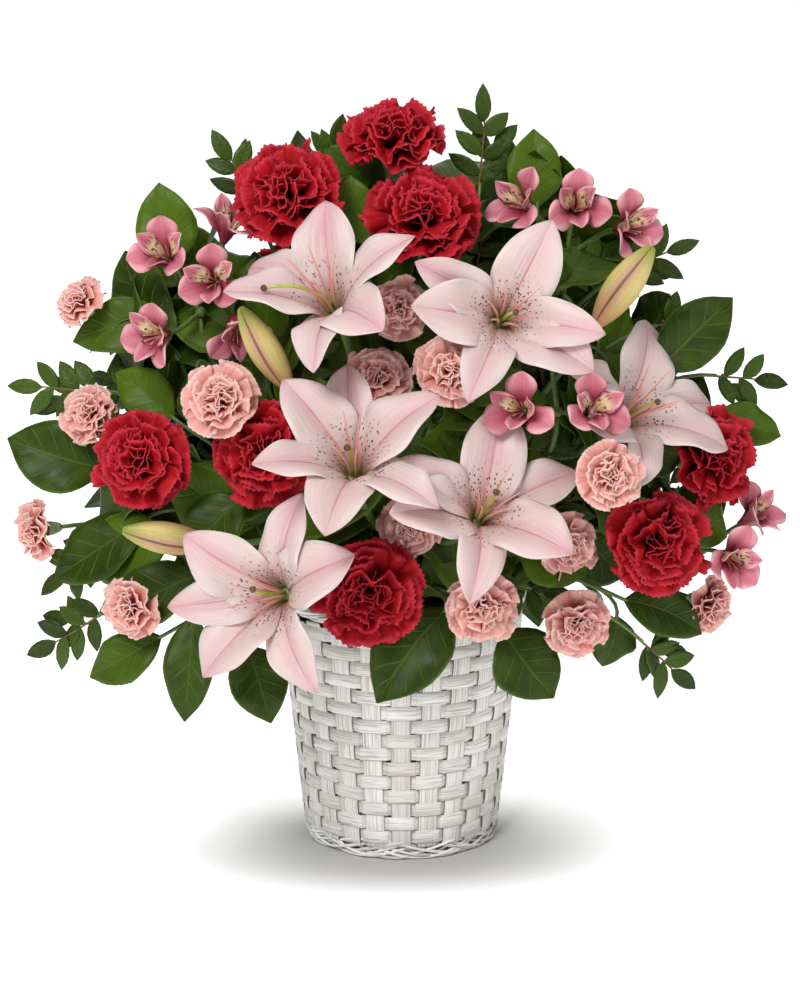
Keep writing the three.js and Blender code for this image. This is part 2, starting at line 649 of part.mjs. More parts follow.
// ---- The basket, its liner and the foam ----
const wallRadius = (z) => (
  THREE.MathUtils.mapLinear(z, 0, basket.height, basket.baseRadius, basket.rimRadius));
const linerRadius = (z) => wallRadius(z) - basket.wall - liner.gap - clearance;
const linerFloor = basket.floor + clearance;
const foamRadius = (z) => linerRadius(z) - liner.wall - clearance;
const foamFloor = linerFloor + liner.wall + clearance;

// A woven wall: a strip passes over one stake and under the next, and the row above it the other way round.
function basketWall() {
  const circle = (radiusAt, z) => aroundCircle(basket.stakes, (angle, i) => new THREE.Vector3(
    radiusAt(i) * Math.cos(angle), radiusAt(i) * Math.sin(angle), z));
  const rings = [circle(() => basket.footRadius, 0), circle(() => basket.footRadius, basket.firstRow)];
  const rowHeight = (basket.lastRow - basket.firstRow) / basket.rows;
  for (let row = 0; row < basket.rows; row += 1) {
    const z = basket.firstRow + (row + 0.5) * rowHeight;
    rings.push(circle((i) => wallRadius(z) + ((i + row) % 2 ? basket.relief : -basket.relief), z));
  }
  rings.push(circle(() => basket.rimRadius - basket.relief, basket.height));
  rings.push(circle(() => basket.rimRadius - basket.wall, basket.height));
  rings.push(circle(() => wallRadius(basket.floor) - basket.wall - basket.relief, basket.floor));
  return [stackOfRings(new THREE.Vector3(), rings, new THREE.Vector3(0, 0, basket.floor))];
}

// A braided hoop: a ring whose outer side swells at each twist.
function braidedHoop(radius, thickness, z) {
  const section = aroundCircle(hoop.sides, (angle) => new THREE.Vector2(
    radius + thickness * Math.cos(angle), thickness * Math.sin(angle)));
  section.push(section[0]);
  const ring = new THREE.LatheGeometry(section, hoop.twists * 2).rotateX(Math.PI / 2).translate(0, 0, z);
  const place = ring.attributes.position;
  for (let i = 0; i < place.count; i += 1) {
    const swell = Math.cos(Math.atan2(place.getY(i), place.getX(i)) * hoop.twists) * hoop.wave;
    const far = Math.hypot(place.getX(i), place.getY(i));
    const scale = far > radius ? 1 + swell / far : 1;
    place.setXY(i, place.getX(i) * scale, place.getY(i) * scale);
  }
  return [ring];
}

// A solid turned about the basket's axis, from a profile of [radius, height].
function turned(profile) {
  const points = profile.map(([radius, z]) => new THREE.Vector2(radius, z));
  return [new THREE.LatheGeometry(points, foam.segments).rotateX(Math.PI / 2)];
}
const linerProfile = [
  [0, linerFloor],
  [linerRadius(linerFloor), linerFloor],
  [linerRadius(liner.top), liner.top],
  [linerRadius(liner.top) - liner.wall, liner.top],
  [linerRadius(linerFloor) - liner.wall, linerFloor + liner.wall],
  [0, linerFloor + liner.wall],
];
const foamProfile = [
  [0, foamFloor],
  [foamRadius(foamFloor), foamFloor],
  [foamRadius(liner.top), liner.top],
  [foam.edgeRadius, foam.top],
  [foam.crownRadius, foam.crown],
  [0, foam.crown],
];

// ---- Solids ----
const sameNormal = 0.999; // cosine, above which two faces at a corner count as one
const sharpest = 0.4; // cosine, so that a sharp corner isn't moved too far

// A closed geometry as a solid, with every face moved outwards by a given distance.
function solidOf(geometry, outwards) {
  geometry.deleteAttribute('normal');
  geometry.deleteAttribute('uv');
  const merged = mergeVertices(geometry, 1e-4);
  const { array: place } = merged.attributes.position;
  const corners = merged.index.array;
  if (outwards > 0) {
    const normalsAt = Array.from({ length: place.length / 3 }, () => []);
    const triangle = new THREE.Triangle();
    for (let i = 0; i < corners.length; i += 3) {
      const three = [corners[i], corners[i + 1], corners[i + 2]];
      const normal = triangle.setFromAttributeAndIndices(merged.attributes.position, ...three)
        .getNormal(new THREE.Vector3());
      const isNew = (normals) => !normals.some((other) => other.dot(normal) > sameNormal);
      three.map((corner) => normalsAt[corner]).filter(isNew).forEach((normals) => normals.push(normal));
    }
    normalsAt.forEach((normals, i) => {
      const way = normals.reduce((sum, normal) => sum.add(normal), new THREE.Vector3()).normalize();
      const least = Math.max(sharpest, Math.min(...normals.map((normal) => normal.dot(way))));
      const corner = new THREE.Vector3().fromArray(place, i * 3);
      corner.addScaledVector(way, outwards / least).toArray(place, i * 3);
    });
  }
  return new wasm.Manifold(new wasm.Mesh({
    numProp: 3, vertProperties: Float32Array.from(place), triVerts: Uint32Array.from(corners),
  }));
}
function fused(geometries, outwards = 0) {
  return geometries.map((geometry) => solidOf(geometry.clone(), outwards))
    .reduce((whole, next) => whole.add(next));
}
function largestBody(solid) {
  return solid.decompose().reduce((a, b) => (a.volume() > b.volume() ? a : b));
}

// A piece cut clear of others, and the room that other pieces leave round a piece.
function clearOf(solid, others) {
  const box = solid.boundingBox();
  const near = others.filter(({ box: other }) => [0, 1, 2].every(
    (axis) => other.min[axis] < box.max[axis] && other.max[axis] > box.min[axis]));
  return near.reduce((rest, other) => rest.subtract(other.solid), solid);
}
function keepOut(geometries) {
  const solid = fused(geometries, clearance);
  return { solid, box: solid.boundingBox() };
}

// ---- Assembly ----
const flowerKinds = [
  { kind: 'lily', flowers: lilies, shapeOf: lilyBloom },
  { kind: 'alstroemeria', flowers: alstroemerias, shapeOf: alstroemeriaHead },
  { kind: 'carnation', flowers: carnations, shapeOf: (f) => frilledHead(f, carnationTiers, carnationTeeth) },
  { kind: 'spray', flowers: sprayCarnations, shapeOf: (f) => frilledHead(f, sprayTiers, sprayTeeth) },
  { kind: 'bud', flowers: buds, shapeOf: lilyBud },
];
const flowerCalled = new Map(flowerKinds.flatMap(
  ({ kind, flowers }) => flowers.map((flower) => [flower.name, { ...flower, kind }])));

const finish = {
  basket: { color: 0xe6e4de, roughness: 0.75 },
  liner: { color: 0x39463a, roughness: 0.5 },
  foam: { color: 0x4d6b3a, roughness: 0.95 },
  lily: { color: 0xf3d8d6, roughness: 0.5 },
  bud: { color: 0xc9b96a, roughness: 0.5 },
  carnation: { color: 0xc81f3f, roughness: 0.7 },
  spray: { color: 0xf0aea8, roughness: 0.7 },
  alstroemeria: { color: 0xc85a7c, roughness: 0.55 },
  greens: { color: 0x3f6a30, roughness: 0.5 },
};
const arrangement = new THREE.Group();
function addNode(name, solid, look) {
  const { vertProperties, triVerts } = largestBody(solid).getMesh();
  const geometry = new THREE.BufferGeometry();
  geometry.setAttribute('position', new THREE.BufferAttribute(vertProperties, 3));
  geometry.setIndex(new THREE.BufferAttribute(triVerts, 1));
  const mesh = new THREE.Mesh(geometry, new THREE.MeshStandardMaterial({ ...look, metalness: 0 }));
  mesh.name = name;
  arrangement.add(mesh);
}

// Stems come first and pass whole. Flowers give way to them, leaves to both, and the foam to every bundle.
const stemRoom = [];
const stemSolids = bundles.map((bundle) => {
  const geometries = bundleStems(bundle);
  const solid = clearOf(fused(geometries), stemRoom);
  stemRoom.push(keepOut(geometries));
  return solid;
});

const flowerRoom = [];
for (const { kind, flowers, shapeOf } of flowerKinds) {
  for (const flower of flowers) {
    const geometries = shapeOf(flower);
    addNode(flower.name, clearOf(fused(geometries), [...stemRoom, ...flowerRoom]), finish[kind]);
    flowerRoom.push(keepOut(geometries));
  }
}

const leafRoom = [];
bundles.forEach((bundle, i) => {
  const geometries = [...bundle.leaves.map(broadLeaf), ...bundle.sprigs.map(leafySprig)];
  const otherStems = stemRoom.filter((_, other) => other !== i);
  const leaves = clearOf(fused(geometries), [...otherStems, ...flowerRoom, ...leafRoom]);
  addNode(bundle.name, leaves.add(stemSolids[i]), finish.greens);
  leafRoom.push(keepOut(geometries));
});

const footAt = [basket.footRadius + clearance + hoop.footRadius, hoop.footRadius + clearance];
const rimAt = [basket.rimRadius - basket.wall / 2, basket.height + clearance + hoop.rimRadius];
const foot = braidedHoop(footAt[0], hoop.footRadius, footAt[1]);
const rim = braidedHoop(rimAt[0], hoop.rimRadius, rimAt[1]);
addNode('basket_wall', fused(basketWall()), finish.basket);
addNode('basket_foot', fused(foot), finish.basket);
addNode('basket_rim', fused(rim), finish.basket);
addNode('liner', fused(turned(linerProfile)), finish.liner);
addNode('foam', clearOf(fused(turned(foamProfile)), stemRoom), finish.foam);

export default arrangement;
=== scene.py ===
import math
import random

import bpy
import numpy as np
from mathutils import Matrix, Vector


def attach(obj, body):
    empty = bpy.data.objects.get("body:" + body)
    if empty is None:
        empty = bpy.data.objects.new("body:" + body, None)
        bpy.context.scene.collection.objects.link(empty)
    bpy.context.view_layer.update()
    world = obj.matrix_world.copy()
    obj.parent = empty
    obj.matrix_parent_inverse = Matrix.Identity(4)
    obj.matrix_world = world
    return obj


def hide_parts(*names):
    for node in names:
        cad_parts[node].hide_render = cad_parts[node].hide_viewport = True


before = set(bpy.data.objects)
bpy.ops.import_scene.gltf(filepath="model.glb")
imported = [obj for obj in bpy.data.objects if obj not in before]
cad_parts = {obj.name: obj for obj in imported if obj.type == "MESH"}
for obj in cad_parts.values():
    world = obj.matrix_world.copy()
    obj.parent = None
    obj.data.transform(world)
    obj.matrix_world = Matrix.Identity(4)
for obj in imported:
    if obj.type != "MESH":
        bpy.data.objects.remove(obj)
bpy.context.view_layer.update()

# A round whitewashed basket of flowers. Places and sizes are in millimetres until a piece is made.
print("frame loaded:", len(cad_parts), "nodes")

# camera, at the photograph's angle, with a very long lens
camera = {"at": (-1.1, -2143.6, 756.9), "target": (-1.1, 0, 262), "lens": 104.22}
eye = bpy.data.objects.new("camera", bpy.data.cameras.new("camera"))
bpy.context.collection.objects.link(eye)
eye.location = [v / 1000 for v in camera["at"]]
fall = math.atan2(camera["at"][2] - camera["target"][2], -camera["at"][1])
eye.rotation_euler = (math.pi / 2 - fall, 0, 0)
eye.data.lens = camera["lens"]
eye.data.sensor_width = 36
eye.data.clip_end = 60
bpy.context.scene.camera = eye


def tint(code):
    # a screen colour such as "f0d7d2" as the linear colour that a socket takes
    parts = [int(code[i:i + 2], 16) / 255 for i in (0, 2, 4)]
    return [v / 12.92 if v <= 0.04045 else ((v + 0.055) / 1.055) ** 2.4 for v in parts] + [1]


def addNode(tree, kind, inputs=None, **settings):
    made = tree.nodes.new("ShaderNode" + kind)
    for key, value in settings.items():
        setattr(made, key, value)
    for key, value in (inputs or {}).items():
        if isinstance(value, bpy.types.NodeSocket):
            tree.links.new(value, made.inputs[key])
        else:
            made.inputs[key].default_value = value
    return made


def maths(tree, operation, a, b=0.0):
    return addNode(tree, "Math", {0: a, 1: b}, operation=operation).outputs[0]


def blended(tree, share, a, b):
    return addNode(tree, "Mix", {0: share, 6: a, 7: b}, data_type="RGBA").outputs[2]


def ramped(tree, value, low, high, start=0.0, end=1.0):
    # a smooth step from start, at the low value, to end, at the high one
    given = {0: value, 1: low, 2: high, 3: start, 4: end}
    return addNode(tree, "MapRange", given, interpolation_type="SMOOTHSTEP").outputs[0]


def newGroup(name, inputs, outputs):
    tree = bpy.data.node_groups.new(name, "ShaderNodeTree")
    for label, kind, value in inputs:
        socket = tree.interface.new_socket(label, in_out="INPUT", socket_type="NodeSocket" + kind)
        if value is not None:
            socket.default_value = value
    for label, kind in outputs:
        tree.interface.new_socket(label, in_out="OUTPUT", socket_type="NodeSocket" + kind)
    return tree, tree.nodes.new("NodeGroupInput").outputs, tree.nodes.new("NodeGroupOutput").inputs


def times(tree, first, *others):
    for other in others:
        first = maths(tree, "MULTIPLY", first, other)
    return first


def laid(tree, color, code, share):
    # a colour over another, by a share or a mask
    return blended(tree, share, color, tint(code))


# where a point lies on its petal, leaf or strip: across -1 to 1, along 0 to 1, and the blade's own random tone
bladePlace, given, result = newGroup(
    "bladePlace", [], [("Across", "Float"), ("Aside", "Float"), ("Along", "Float"), ("Tone", "Float")])
spread = addNode(bladePlace, "Attribute", attribute_name="where")
apart = addNode(bladePlace, "SeparateXYZ", {0: spread.outputs["Vector"]})
bladePlace.links.new(apart.outputs[0], result["Across"])
bladePlace.links.new(maths(bladePlace, "ABSOLUTE", apart.outputs[0]), result["Aside"])
bladePlace.links.new(apart.outputs[1], result["Along"])
bladePlace.links.new(apart.outputs[2], result["Tone"])

# soft patches that wander through a surface
softMottle, given, result = newGroup(
    "softMottle", [("Scale", "Float", 40.0), ("Detail", "Float", 3.0), ("Contrast", "Float", 0.5)],
    [("Mask", "Float")])
objectPlace = addNode(softMottle, "TexCoord").outputs["Object"]
patches = addNode(softMottle, "TexNoise", {"Vector": objectPlace, "Scale": given["Scale"], "Detail": given["Detail"]})
half = times(softMottle, given["Contrast"], 0.5)
low, high = maths(softMottle, "SUBTRACT", 0.5, half), maths(softMottle, "ADD", 0.5, half)
softMottle.links.new(ramped(softMottle, patches.outputs[0], low, high), result["Mask"])

# fine lines that run the length of a petal, leaf or strip
fineLines, given, result = newGroup(
    "fineLines", [("Across", "Float", 0.0), ("Along", "Float", 0.0), ("Tone", "Float", 0.0),
                  ("Count", "Float", 20.0), ("Length", "Float", 2.0), ("Sharpness", "Float", 0.5)],
    [("Mask", "Float"), ("Height", "Float")])
stretched = addNode(fineLines, "CombineXYZ", {
    0: times(fineLines, given["Across"], given["Count"]),
    1: times(fineLines, given["Along"], given["Length"]),
    2: times(fineLines, given["Tone"], 61.7)}).outputs[0]
lines = addNode(fineLines, "TexNoise", {"Vector": stretched, "Scale": 1.0, "Detail": 3.0}).outputs[0]
fineLines.links.new(lines, result["Height"])
low = maths(fineLines, "SUBTRACT", 0.5, times(fineLines, given["Sharpness"], 0.4))
fineLines.links.new(ramped(fineLines, lines, low, maths(fineLines, "SUBTRACT", 1.0, low)), result["Mask"])

# a midrib, and side veins that leave it at a slant
leafVeins, given, result = newGroup(
    "leafVeins", [("Across", "Float", 0.0), ("Along", "Float", 0.0), ("Count", "Float", 9.0),
                  ("Slant", "Float", 0.16), ("Width", "Float", 0.1)],
    [("Mask", "Float"), ("Height", "Float")])
aside = maths(leafVeins, "ABSOLUTE", given["Across"])
back = times(leafVeins, given["Slant"], maths(leafVeins, "POWER", aside, 0.8))
row = times(leafVeins, maths(leafVeins, "SUBTRACT", given["Along"], back), given["Count"])
beat = maths(leafVeins, "ABSOLUTE", maths(leafVeins, "SUBTRACT", maths(leafVeins, "FRACT", row), 0.5))
side = times(leafVeins, ramped(leafVeins, beat, 0.0, given["Width"], 1.0, 0.0),
             ramped(leafVeins, aside, 0.95, 0.5, 0.0, 0.75))
rib = ramped(leafVeins, aside, 0.0, 0.07, 1.0, 0.0)
veins = maths(leafVeins, "MAXIMUM", rib, side)
leafVeins.links.new(veins, result["Mask"])
leafVeins.links.new(maths(leafVeins, "ADD", veins, times(leafVeins, beat, 0.9)), result["Height"])


def placeGroup(tree, group, inputs=None):
    return addNode(tree, "Group", inputs, node_tree=group).outputs


def newMaterial(name, **values):
    material = bpy.data.materials.new(name)
    material.use_nodes = True
    tree = material.node_tree
    shader = tree.nodes["Principled BSDF"]
    for key, value in values.items():
        shader.inputs[key].default_value = value
    return material, tree, shader


def feed(tree, shader, **sockets):
    for key, value in sockets.items():
        tree.links.new(value, shader.inputs[key])


def bumped(tree, shader, height, distance, strength=1.0):
    bump = addNode(tree, "Bump", {"Height": height, "Distance": distance, "Strength": strength})
    tree.links.new(bump.outputs[0], shader.inputs["Normal"])


def linesOn(tree, where, count, length, sharpness):
    return placeGroup(tree, fineLines, {"Across": where["Across"], "Along": where["Along"], "Tone": where["Tone"],
                                        "Count": count, "Length": length, "Sharpness": sharpness})


def bladeLines(tree, count, length, sharpness):
    where = placeGroup(tree, bladePlace)
    return where, linesOn(tree, where, count, length, sharpness)


def spotsOn(tree, where, across, along, **settings):
    # cells that stretch along the petal, and differ from petal to petal
    place = addNode(tree, "CombineXYZ", {
        0: times(tree, where["Across"], across), 1: times(tree, where["Along"], along),
        2: times(tree, where["Tone"], 37.0)})
    return addNode(tree, "TexVoronoi", {"Vector": place.outputs[0], "Scale": 1.0} | settings).outputs["Distance"]


# lily petals: nearly white, with a pink blush along the rib and at the tip, a green throat and dark spots
lilyPaint = {"pale": "d0bbb7", "blush": "c98a97", "tip": "d29ca4", "throat": "949c54", "rib": "b5566e",
             "warm": "c27c70", "edge": "e2d4d0", "spot": "46101a", "spotCount": 27.0, "spotRows": 8.0,
             "spotSize": 0.3}
lilyPetal, tree, shader = newMaterial(
    "lilyPetal", **{"Roughness": 0.42, "Subsurface Weight": 0.12, "Subsurface Scale": 0.004,
                    "Specular IOR Level": 0.35})
where, lines = bladeLines(tree, 16.0, 2.2, 0.6)
middle = times(tree, ramped(tree, where["Aside"], 0.85, 0.0), ramped(tree, where["Along"], 0.2, 0.7),
               ramped(tree, lines["Mask"], 0.0, 1.0, 0.25, 0.7), ramped(tree, where["Tone"], 0.0, 1.0, 0.5, 1.2))
color = blended(tree, middle, tint(lilyPaint["pale"]), tint(lilyPaint["blush"]))
tips = times(tree, ramped(tree, where["Along"], 0.72, 1.0), ramped(tree, where["Tone"], 0.0, 1.0, 0.2, 0.8))
color = laid(tree, color, lilyPaint["tip"], tips)
color = laid(tree, color, lilyPaint["edge"], ramped(tree, where["Aside"], 0.84, 1.0, 0.0, 0.8))
rib = times(tree, ramped(tree, where["Aside"], 0.07, 0.0), ramped(tree, where["Along"], 0.99, 0.6, 0.35, 0.75),
            ramped(tree, where["Along"], 0.15, 0.45))
color = laid(tree, color, lilyPaint["rib"], rib)
mottle = placeGroup(tree, softMottle, {"Scale": 34.0, "Contrast": 0.6})
color = laid(tree, color, lilyPaint["pale"], times(tree, mottle["Mask"], 0.3))
warm = times(tree, ramped(tree, where["Along"], 0.42, 0.14), ramped(tree, lines["Mask"], 0.2, 0.8, 0.25, 0.85))
color = laid(tree, color, lilyPaint["warm"], warm)
color = laid(tree, color, lilyPaint["throat"], ramped(tree, where["Along"], 0.17, 0.03))
zone = times(tree, ramped(tree, where["Along"], 0.1, 0.18), ramped(tree, where["Along"], 0.56, 0.36),
             ramped(tree, where["Aside"], 0.85, 0.6))
spots = spotsOn(tree, where, lilyPaint["spotRows"], lilyPaint["spotCount"], Randomness=0.9)
spots = times(tree, ramped(tree, spots, lilyPaint["spotSize"], lilyPaint["spotSize"] - 0.08), zone)
color = laid(tree, color, lilyPaint["spot"], times(tree, spots, 0.9))
feed(tree, shader, **{"Base Color": color, "Roughness": ramped(tree, lines["Height"], 0.3, 0.7, 0.38, 0.52)})
bumped(tree, shader, maths(tree, "ADD", lines["Height"], spots), 0.0008, 0.8)

# stamens, styles and stigmas
filamentFinish, tree, shader = newMaterial("paleFilament", **{"Roughness": 0.45})
where = placeGroup(tree, bladePlace)
pinker = ramped(tree, where["Along"], 0.0, 0.45)
feed(tree, shader, **{"Base Color": blended(tree, pinker, tint("a3ad5c"), tint("d6958a"))})
stigmaFinish, tree, shader = newMaterial("stigma", **{"Roughness": 0.35})
mottle = placeGroup(tree, softMottle, {"Scale": 900.0})
feed(tree, shader, **{"Base Color": blended(tree, mottle["Mask"], tint("3a1c14"), tint("6e5632"))})
styleFinish, tree, shader = newMaterial("greenStyle", **{"Roughness": 0.4})
mottle = placeGroup(tree, softMottle, {"Scale": 120.0})
feed(tree, shader, **{"Base Color": blended(tree, mottle["Mask"], tint("98a23c"), tint("b4b85a"))})


def frilledFinish(name, paint, bump):
    # carnation petals: darker toward the foot, deep in the flower, partly the petal's own deeper colour and partly
    # painted shade; lighter at the toothed edge, a painted highlight where the frills catch the light
    material, tree, shader = newMaterial(
        name, **{"Roughness": 0.62, "Subsurface Weight": paint["soft"], "Subsurface Scale": 0.004,
                 "Specular IOR Level": 0.12})
    where, lines = bladeLines(tree, 9.0, 1.4, 0.5)
    # the deep colour toward each petal's foot is partly painted shade inside the flower
    color = blended(tree, ramped(tree, where["Along"], 0.35, 0.92), tint(paint["deep"]), tint(paint["blade"]))
    color = laid(tree, color, paint["deep"], times(tree, lines["Mask"], 0.3))
    color = laid(tree, color, paint["other"], times(tree, where["Tone"], 0.35))
    # the edge colour is a painted highlight along the toothed edge
    color = laid(tree, color, paint["edge"], times(tree, ramped(tree, where["Along"], 0.9, 1.0), paint["edgeHighlightShare"]))
    feed(tree, shader, **{"Base Color": color})
    bumped(tree, shader, lines["Height"], bump)
    return material


# deep: the dark colour at the petals' foot, partly painted shade; edge: a painted highlight on the toothed edge
carnationPetal = frilledFinish("carnationPetal", {
    "deep": "560306", "blade": "b0131e", "other": "8e0b14", "edge": "cc4054", "edgeHighlightShare": 0.45, "soft": 0.05}, 0.0005)
sprayPetal = frilledFinish("sprayCarnationPetal", {
    "deep": "cc5442", "blade": "e4aea6", "other": "dc948a", "edge": "f0d6ce", "edgeHighlightShare": 0.45, "soft": 0.2}, 0.0004)


def alstroemeriaFinish(name, paint, flecked):
    # pink with pale sides, darker toward each petal's foot, a painted shade deep in the funnel; the two upper petals
    # are golden and flecked, the others have a green tip
    material, tree, shader = newMaterial(
        name, **{"Roughness": 0.45, "Subsurface Weight": 0.1, "Subsurface Scale": 0.003, "Specular IOR Level": 0.35})
    where, lines = bladeLines(tree, 12.0, 1.6, 0.6)
    # the dark base colour toward each petal's foot is painted shade
    color = blended(tree, ramped(tree, where["Along"], 0.25, 0.8), tint(paint["base"]), tint(paint["blade"]))
    color = laid(tree, color, paint["line"], times(tree, lines["Mask"], 0.4))
    pale = times(tree, ramped(tree, where["Aside"], 0.35, 1.0, 0.15, 0.75), ramped(tree, where["Along"], 0.4, 0.9))
    color = laid(tree, color, paint["edge"], pale)
    # the same painted-shade colour, laid at random over some whole petals
    color = laid(tree, color, paint["base"], ramped(tree, where["Tone"], 0.6, 1.0, 0.0, 0.4))
    if flecked:
        gold = times(tree, ramped(tree, where["Along"], 0.15, 0.3), ramped(tree, where["Along"], 0.78, 0.5),
                     ramped(tree, where["Aside"], 0.95, 0.5), 0.85)
        color = laid(tree, color, paint["gold"], gold)
        dashes = times(tree, ramped(tree, spotsOn(tree, where, 7.0, 5.0), 0.38, 0.28),
                       ramped(tree, where["Along"], 0.3, 0.4), ramped(tree, where["Along"], 0.9, 0.7))
        color = laid(tree, color, paint["dash"], dashes)
    else:
        tips = times(tree, ramped(tree, where["Along"], 0.93, 1.0), ramped(tree, where["Aside"], 0.5, 0.1))
        color = laid(tree, color, paint["tip"], times(tree, tips, 0.7))
    feed(tree, shader, **{"Base Color": color})
    bumped(tree, shader, lines["Height"], 0.0004, 0.7)
    return material


# base: the colour of painted shade, at the petals' foot and at random over some petals
alstroemeriaPaint = {"base": "8e2c3c", "blade": "c4647a", "line": "8c2440", "edge": "ecbcbc", "gold": "f2e2b0",
                     "dash": "5a1222", "tip": "8a9350"}
alstroemeriaOuter = alstroemeriaFinish("alstroemeriaOuter", alstroemeriaPaint, False)
alstroemeriaInner = alstroemeriaFinish("alstroemeriaInner", alstroemeriaPaint, True)

# lily buds: yellow-green, with a pink flush and darker seams
budSkin, tree, shader = newMaterial(
    "lilyBudSkin", **{"Roughness": 0.45, "Subsurface Weight": 0.1, "Subsurface Scale": 0.004})
where, lines = bladeLines(tree, 6.0, 1.5, 0.5)
color = blended(tree, lines["Mask"], tint("b8a650"), tint("d6c888"))
color = laid(tree, color, "c08a78", ramped(tree, where["Tone"], 0.6, 0.1, 0.0, 0.75))
color = laid(tree, color, "b07a50", ramped(tree, where["Along"], 0.55, 0.0, 0.0, 0.75))
color = laid(tree, color, "8c9a34", ramped(tree, where["Along"], 0.7, 0.98, 0.0, 0.85))
color = laid(tree, color, "5c3e22", times(tree, ramped(tree, where["Aside"], 0.26, 0.04), 0.85))
feed(tree, shader, **{"Base Color": color})
bumped(tree, shader, lines["Height"], 0.0004)


def leafFinish(name, paint, count, slant, vein, gloss):
    # a waxy green blade with paler veins; its tone runs from the dark to the light green, and is set dark on some
    # leaves as painted shade
    material, tree, shader = newMaterial(
        name, **{"Coat Weight": gloss, "Coat Roughness": 0.3, "Specular IOR Level": 0.14})
    where = placeGroup(tree, bladePlace)
    veins = placeGroup(tree, leafVeins, {"Across": where["Across"], "Along": where["Along"], "Count": count,
                                         "Slant": slant})
    mottle = placeGroup(tree, softMottle, {"Scale": 60.0, "Contrast": 0.7})
    color = blended(tree, where["Tone"], tint(paint["dark"]), tint(paint["light"]))
    color = laid(tree, color, paint["patch"], times(tree, mottle["Mask"], 0.35))
    color = laid(tree, color, paint["vein"], times(tree, veins["Mask"], vein))
    color = laid(tree, color, paint["vein"], ramped(tree, where["Aside"], 0.9, 1.0, 0.0, 0.4))
    feed(tree, shader, **{"Base Color": color, "Roughness": ramped(tree, mottle["Mask"], 0.0, 1.0, 0.36, 0.52)})
    bumped(tree, shader, times(tree, veins["Height"], -1.0), 0.0008, 0.7)
    return material


salalLeaf = leafFinish("salalLeaf", {
    "dark": "182904", "light": "4b660f", "patch": "4e6814", "vein": "6e8832"}, 6.0, 0.25, 0.22, 0.05)
smallLeaf = leafFinish("smallLeaf", {
    "dark": "182806", "light": "3c5412", "patch": "465c1a", "vein": "6e8638"}, 5.0, 0.22, 0.22, 0.1)

# stems, cups and twigs
greenStem, tree, shader = newMaterial("greenStem", **{"Roughness": 0.5})
where, lines = bladeLines(tree, 2.0, 9.0, 0.5)
color = blended(tree, lines["Mask"], tint("45602a"), tint("66803c"))
feed(tree, shader, **{"Base Color": laid(tree, color, "39552a", times(tree, where["Tone"], 0.5))})
bumped(tree, shader, lines["Height"], 0.0003)
calyxFinish, tree, shader = newMaterial("calyx", **{"Roughness": 0.55})
where, lines = bladeLines(tree, 5.0, 3.0, 0.5)
color = blended(tree, lines["Mask"], tint("6f9160"), tint("93ad7c"))
feed(tree, shader, **{"Base Color": laid(tree, color, "b3ab78", ramped(tree, where["Along"], 0.8, 1.0, 0.0, 0.5))})
bumped(tree, shader, lines["Height"], 0.0003)
woodyStem, tree, shader = newMaterial("woodyStem", **{"Roughness": 0.6})
where, lines = bladeLines(tree, 2.0, 6.0, 0.6)
feed(tree, shader, **{"Base Color": blended(tree, lines["Mask"], tint("5b3a22"), tint("7d6136"))})
bumped(tree, shader, lines["Height"], 0.0003)


def willowFinish(name, count, length, edgeWashAndShade, paint="efeeec"):
    # whitewashed willow: grey-brown grain lines under thin white paint, darker at the edges, partly a darker wash and
    # partly painted shade in the gaps between strips and stakes
    material, tree, shader = newMaterial(name, **{"Roughness": 0.68, "Specular IOR Level": 0.3})
    where, lines = bladeLines(tree, count, length, 0.55)
    coarse = linesOn(tree, where, count * 0.4, length * 0.5, 0.4)
    color = blended(tree, ramped(tree, lines["Mask"], 0.0, 0.6), tint("a69f94"), tint(paint))
    color = laid(tree, color, paint, times(tree, coarse["Mask"], 0.5))
    mottle = placeGroup(tree, softMottle, {"Scale": 22.0, "Contrast": 0.5})
    color = laid(tree, color, "c9c3b9", times(tree, mottle["Mask"], 0.35))
    color = laid(tree, color, "b9b2a7", ramped(tree, where["Tone"], 0.5, 1.0, 0.0, 0.3))
    # painted shade along the edges, where strips and stakes meet the gaps, with some darker wash
    color = laid(tree, color, "4a443b", ramped(tree, where["Aside"], 0.88, 0.96, 0.0, edgeWashAndShade))
    feed(tree, shader, **{"Base Color": color, "Roughness": ramped(tree, lines["Mask"], 0.0, 1.0, 0.78, 0.6)})
    bumped(tree, shader, lines["Height"], 0.0003, 0.6)
    return material


stripFinish = willowFinish("whitewashedStrip", 7.0, 22.0, 0.85)
stakeFinish = willowFinish("whitewashedStake", 11.0, 3.0, 0.85)
# the rods' whiter paint is partly painted light, for rods that face down, away from the lamps
rodFinish = willowFinish("whitewashedRod", 1.2, 9.0, 0.0, "fdfdfc")

# the pot inside and its foam
linerFinish, tree, shader = newMaterial("linerPlastic", **{"Roughness": 0.3})
mottle = placeGroup(tree, softMottle, {"Scale": 30.0})
feed(tree, shader, **{"Base Color": blended(tree, mottle["Mask"], tint("1c221b"), tint("2b352a"))})
bumped(tree, shader, mottle["Mask"], 0.002)
foamFinish, tree, shader = newMaterial("wetFoam", **{"Roughness": 0.9})
mottle = placeGroup(tree, softMottle, {"Scale": 260.0, "Detail": 5.0, "Contrast": 0.6})
feed(tree, shader, **{"Base Color": blended(tree, mottle["Mask"], tint("23381a"), tint("3f5a2c"))})
bumped(tree, shader, mottle["Mask"], 0.0008)
print("finishes made")


# closed skins, gathered into one piece
def newSkin():
    return {"points": [], "where": [], "quads": [], "triangles": [], "quadLook": [], "triangleLook": [], "count": 0}


def addPoints(skin, points, where):
    first = skin["count"]
    points = np.asarray(points, float).reshape(-1, 3)
    skin["points"].append(points)
    skin["where"].append(np.broadcast_to(np.asarray(where, float), points.shape).reshape(-1, 3))
    skin["count"] += len(points)
    return first


